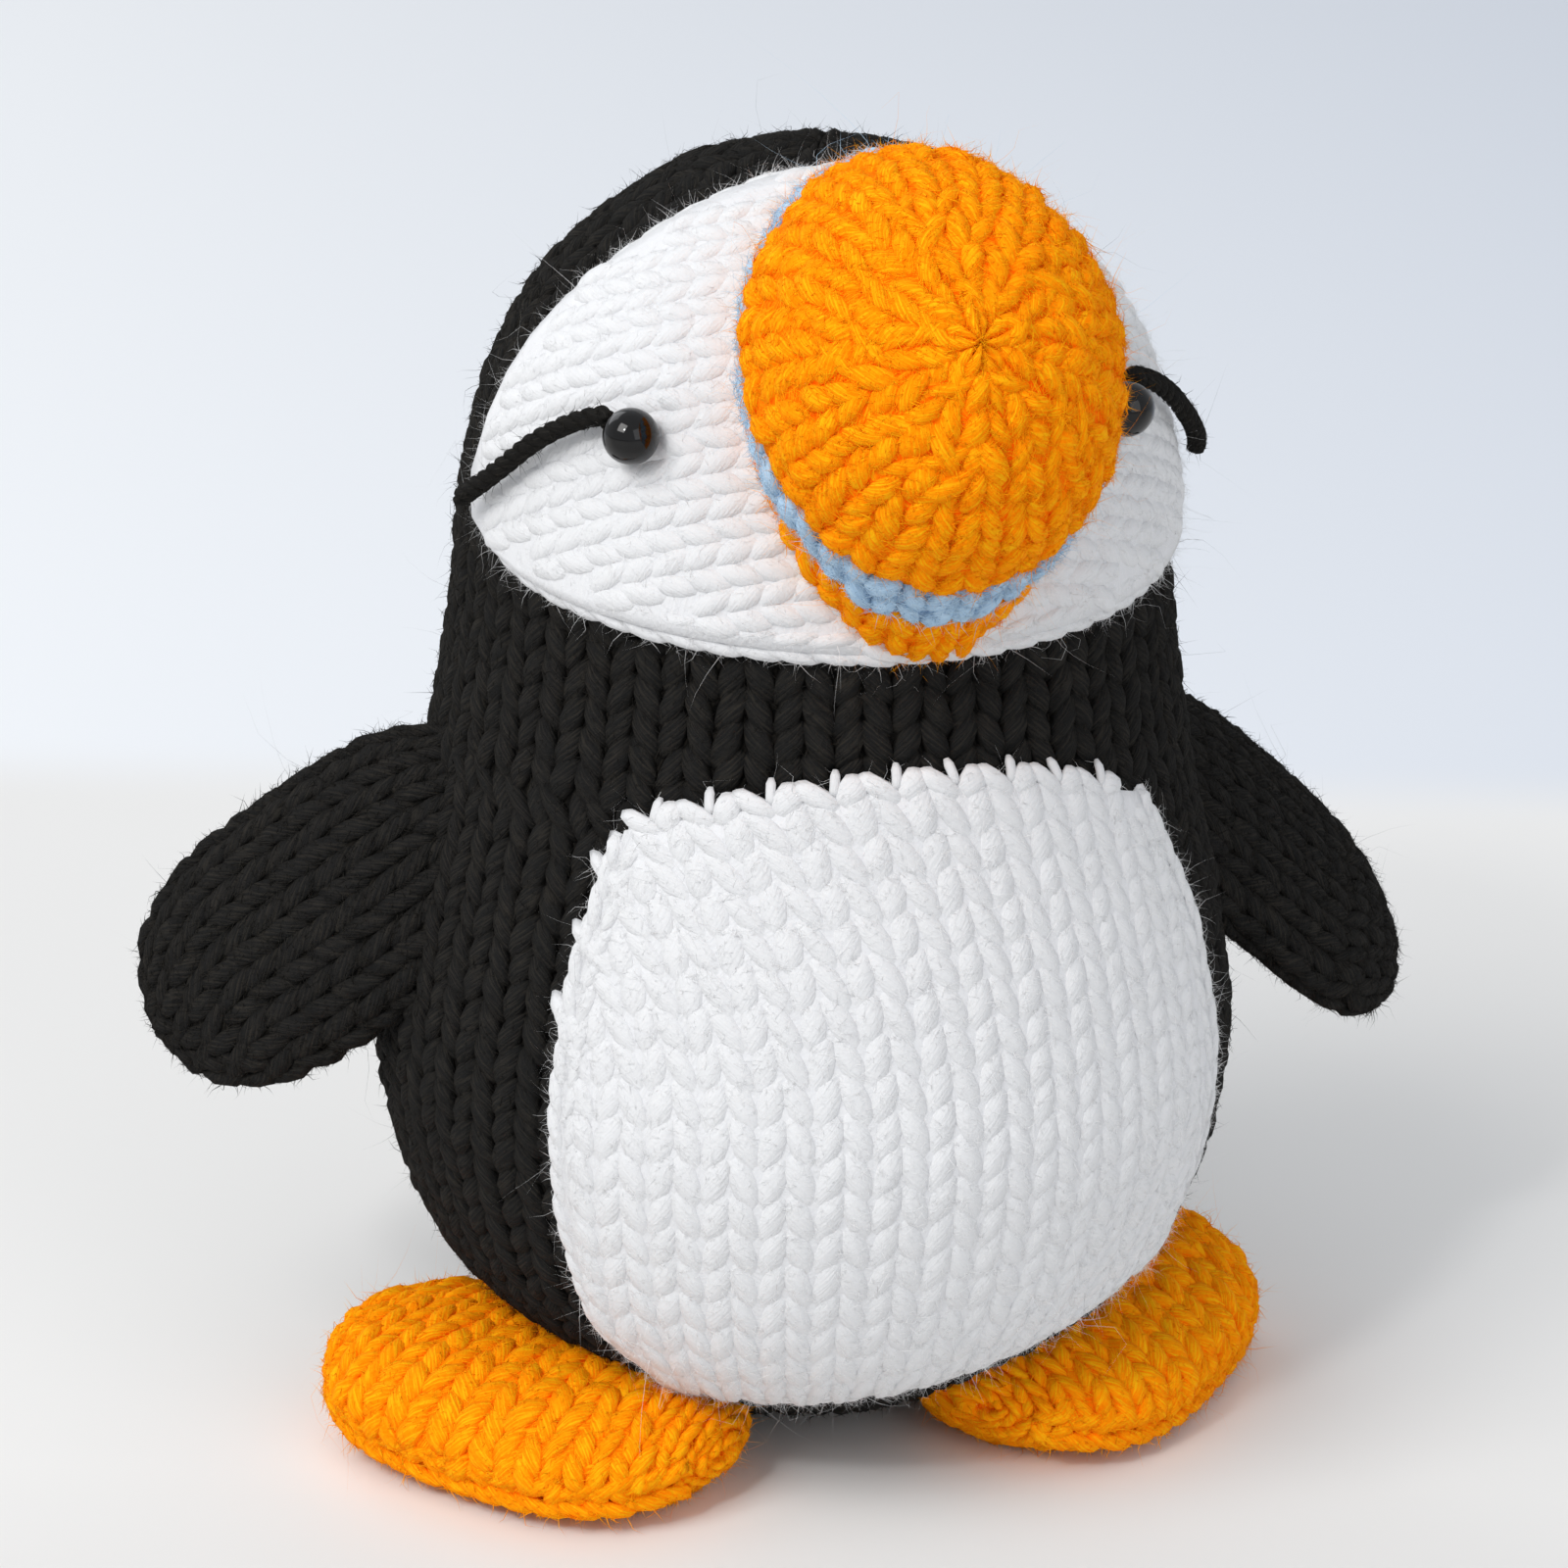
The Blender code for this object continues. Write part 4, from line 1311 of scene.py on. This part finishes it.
def pillow_girth(x):
    """How full a pillow is at this share of its length, -1 to 1."""
    x = np.clip(np.abs(x), 0, 1)
    round_end = np.sqrt(np.maximum(1 - x**2, 0))
    full = np.sqrt(np.maximum(1 - x**PILLOW_SQUARENESS, 0))
    return np.minimum(full, PILLOW_ENDS * round_end)


def ellipse_angle(share, wide, deep):
    """The angle round an ellipse at an even share of its edge."""
    fine = np.linspace(0, tau, 721)
    steps = np.hypot(np.diff(wide * np.cos(fine)), np.diff(deep * np.sin(fine)))
    run = added_up(steps)
    whole = np.floor(share)
    return np.interp((share - whole) * run[-1], run, fine) + whole * tau


pillow_x = -np.cos(np.linspace(0, pi, 400))
wing_steps = np.hypot(
    np.diff(pillow_x) * WING_LENGTH / 2, np.diff(pillow_girth(pillow_x)) * WING_WIDTH / 2
)
wing_run = added_up(wing_steps)
wing_run /= wing_run[-1]


def clear_of_body(place, cells):
    """The cells without those that lie well inside the body, where nothing shows."""
    points = place(*cell_middles(cells))
    radius = np.hypot(points[:, 0], points[:, 1])
    return cells[radius >= skittle_radius(points[:, 2]) - BURIED_DEPTH]


def wing_axes(name):
    """The root, length, width and thickness directions of a wing."""
    sign = SIDES[name]
    back, down, roll = (radians(angle) for angle in WING_POSES[name])
    radius = skittle_radius(WING_ROOT_HEIGHT) - WING_SINK
    angle = sign * WING_ROOT_ANGLE
    root = Vector((radius * sin(angle), -radius * cos(angle), WING_ROOT_HEIGHT))
    heading = Vector((sign * cos(back) * cos(down), sin(back) * cos(down), -sin(down)))
    level = heading.cross(Vector((0, 0, 1))).normalized()
    level = Matrix.Rotation(sign * roll, 3, heading) @ level
    upward = level.cross(heading)
    thick = heading.cross(upward)
    return [np.array(v) for v in (root, heading, upward, thick)]


for name, sign in SIDES.items():
    root, heading, upward, thick = wing_axes(name)
    centre = root + heading * WING_LENGTH / 2

    def wing_place(turn, share):
        x = np.interp(share, wing_run, pillow_x)
        girth = pillow_girth(x)
        angle = ellipse_angle(turn / tau + 0.5, WING_WIDTH, WING_THICKNESS)
        bump = np.abs(np.sin(share * len(WING_COUNTS) * pi)) * np.cos(angle) ** 8 * girth
        up = (WING_WIDTH / 2 * girth + WING_BUMP * bump) * np.cos(angle)
        out = WING_THICKNESS / 2 * girth * np.sin(angle)
        point = centre + (x * WING_LENGTH / 2)[..., None] * heading
        return point + up[..., None] * upward + out[..., None] * thick

    cells = rounds(WING_COUNTS, np.linspace(0, 1, len(WING_COUNTS) + 1))
    stitches = knit(wing_place, clear_of_body(wing_place, cells), centre, *WING_YARN)
    inner = sleeve_lining(wing_place, 24, (0.004, 0.996), centre)
    whole = join([stitches, inner])
    made = piece("wing_knitting_" + name, whole, BLACK_WOOL, "black_yarn", "wing_" + name)
    bloom("wing_hairs_" + name, stitches, WING_HAIRS, BLACK_HAIR, "black_yarn")


# ---------------------------------------------------------------------------------
# The feet are two orange pads, knitted from the body outwards over the top and back
# underneath, stuffed, and closed along the outer rim with a braided seam.

FOOT_WIDTH = 24 * MM
FOOT_HEIGHT = 9.6 * MM
FOOT_SINK = 1.2 * MM
# each foot's middle, its angle in degrees, its length, the lift of its outer end, and its
# thickening by the body
FOOT_SHAPES = {
    "right": (-23.2, -9.0, 50, 33.8, 1.5, 0),
    "left": (20.5, -8.0, 47, 35.0, 0.6, 0.4),
}
FOOT_COLUMNS = 14
FOOT_SPREAD = 1.16  # how wide the columns are in the middle of the outer rim
FOOT_FAN = 0.38  # how much narrower they are against the body
FOOT_REACH = 0.97  # the columns end this near to the very ends of the foot
FOOT_LINING_REACH = 0.985
# how far out the foot's lining counts, so that it takes only part of the wool's painted crease
# shade
FOOT_LINING_SHADE = 0.6
FOOT_ROW = 2.6 * MM
FOOT_SEAM = (3.4 * MM, 2.6 * MM, -0.3 * MM)
FOOT_SEAM_TURN = 0.53  # round from the body over the top, just under the outer rim
FOOT_CLEAR = 0.25 * MM  # over the table
FOOT_HAIRS = 10500

for name, sign in SIDES.items():
    x, y, angle, length, lift, thickening = FOOT_SHAPES[name]
    angle = sign * radians(angle)
    across_foot = np.array((cos(angle), sin(angle), 0))
    inwards = np.array((-sin(angle), cos(angle), 0))
    half_height = (FOOT_HEIGHT + FOOT_SINK) / 2
    middle_height = (FOOT_HEIGHT - FOOT_SINK) / 2
    half_length = length * MM / 2
    centre = np.array((x * MM, y * MM, 0))

    def foot_point(x, turn):
        """x runs along the foot, and turn goes from the body over the top."""
        angle = ellipse_angle(turn, FOOT_WIDTH / 2, half_height)
        girth = pillow_girth(x / half_length)
        inward = girth * np.cos(angle)
        up = middle_height + half_height * girth * np.sin(angle)
        up = up * (1 + thickening * (1 + inward) / 2)
        up = up + lift * MM * np.maximum(sign * x / half_length, 0) ** 2
        point = centre + x[..., None] * across_foot
        point = point + (FOOT_WIDTH / 2 * inward)[..., None] * inwards
        point[..., 2] = np.maximum(up, FOOT_CLEAR)
        return point

    def foot_place(column, turn):
        """The columns spread like a fan from the body and close in at both ends."""
        near = (1 + np.cos(ellipse_angle(turn, FOOT_WIDTH / 2, half_height))) / 2
        spread = FOOT_SPREAD - FOOT_FAN * near
        share = spread * column / (1 + (spread**4 - 1) * np.abs(column) ** 4) ** (1 / 4)
        bearing = np.clip(share * FOOT_REACH, -0.995, 0.995) * tau / 4
        return foot_point(half_length * np.sin(bearing), turn)

    columns = np.linspace(-1, 1, FOOT_COLUMNS + 1)
    cells = []
    for i, (left, right) in enumerate(zip(columns, columns[1:])):
        ring = foot_place(np.full(40, (left + right) / 2), np.linspace(0, 1, 40))
        rows = max(4, int(round(run_along(ring)[-1] / FOOT_ROW)))
        turns = np.linspace(0, 1, rows + 1)
        for low, high in zip(turns, turns[1:]):
            tall = MAP_TOP * (high - low)
            bake = (i / FOOT_COLUMNS, MAP_TOP * low, 1 / FOOT_COLUMNS, tall)
            cells.append((left, right, left, right, low, high, *bake))
    cells = clear_of_body(foot_place, np.array(cells))
    foot_middle = (*centre[:2], middle_height)
    stitches = knit(foot_place, cells, foot_middle, *THICK_YARN)
    seam_x = np.linspace(-FOOT_REACH, FOOT_REACH, EDGE_POINTS) * half_length
    seam_line = foot_point(seam_x, np.full(EDGE_POINTS, FOOT_SEAM_TURN))
    seam = chain(seam_line, foot_middle, FOOT_SEAM, plump=0.8, deep=0.6)

    def foot_sleeve(turn, x):
        return foot_point(x, turn / tau + 0.5)

    foot_end = FOOT_LINING_REACH * half_length
    inner = sleeve_lining(foot_sleeve, 30, (-foot_end, foot_end), foot_middle)
    # the foot's lining takes less of the painted crease shade than the other linings
    inner["depth"][:] = FOOT_LINING_SHADE
    whole = join([stitches, seam, inner])
    made = piece("foot_knitting_" + name, whole, ORANGE_WOOL, "orange_yarn", "foot_" + name)
    bloom("foot_hairs_" + name, whole, FOOT_HAIRS, *orange[1:], **THICK_YARN_BLOOM)
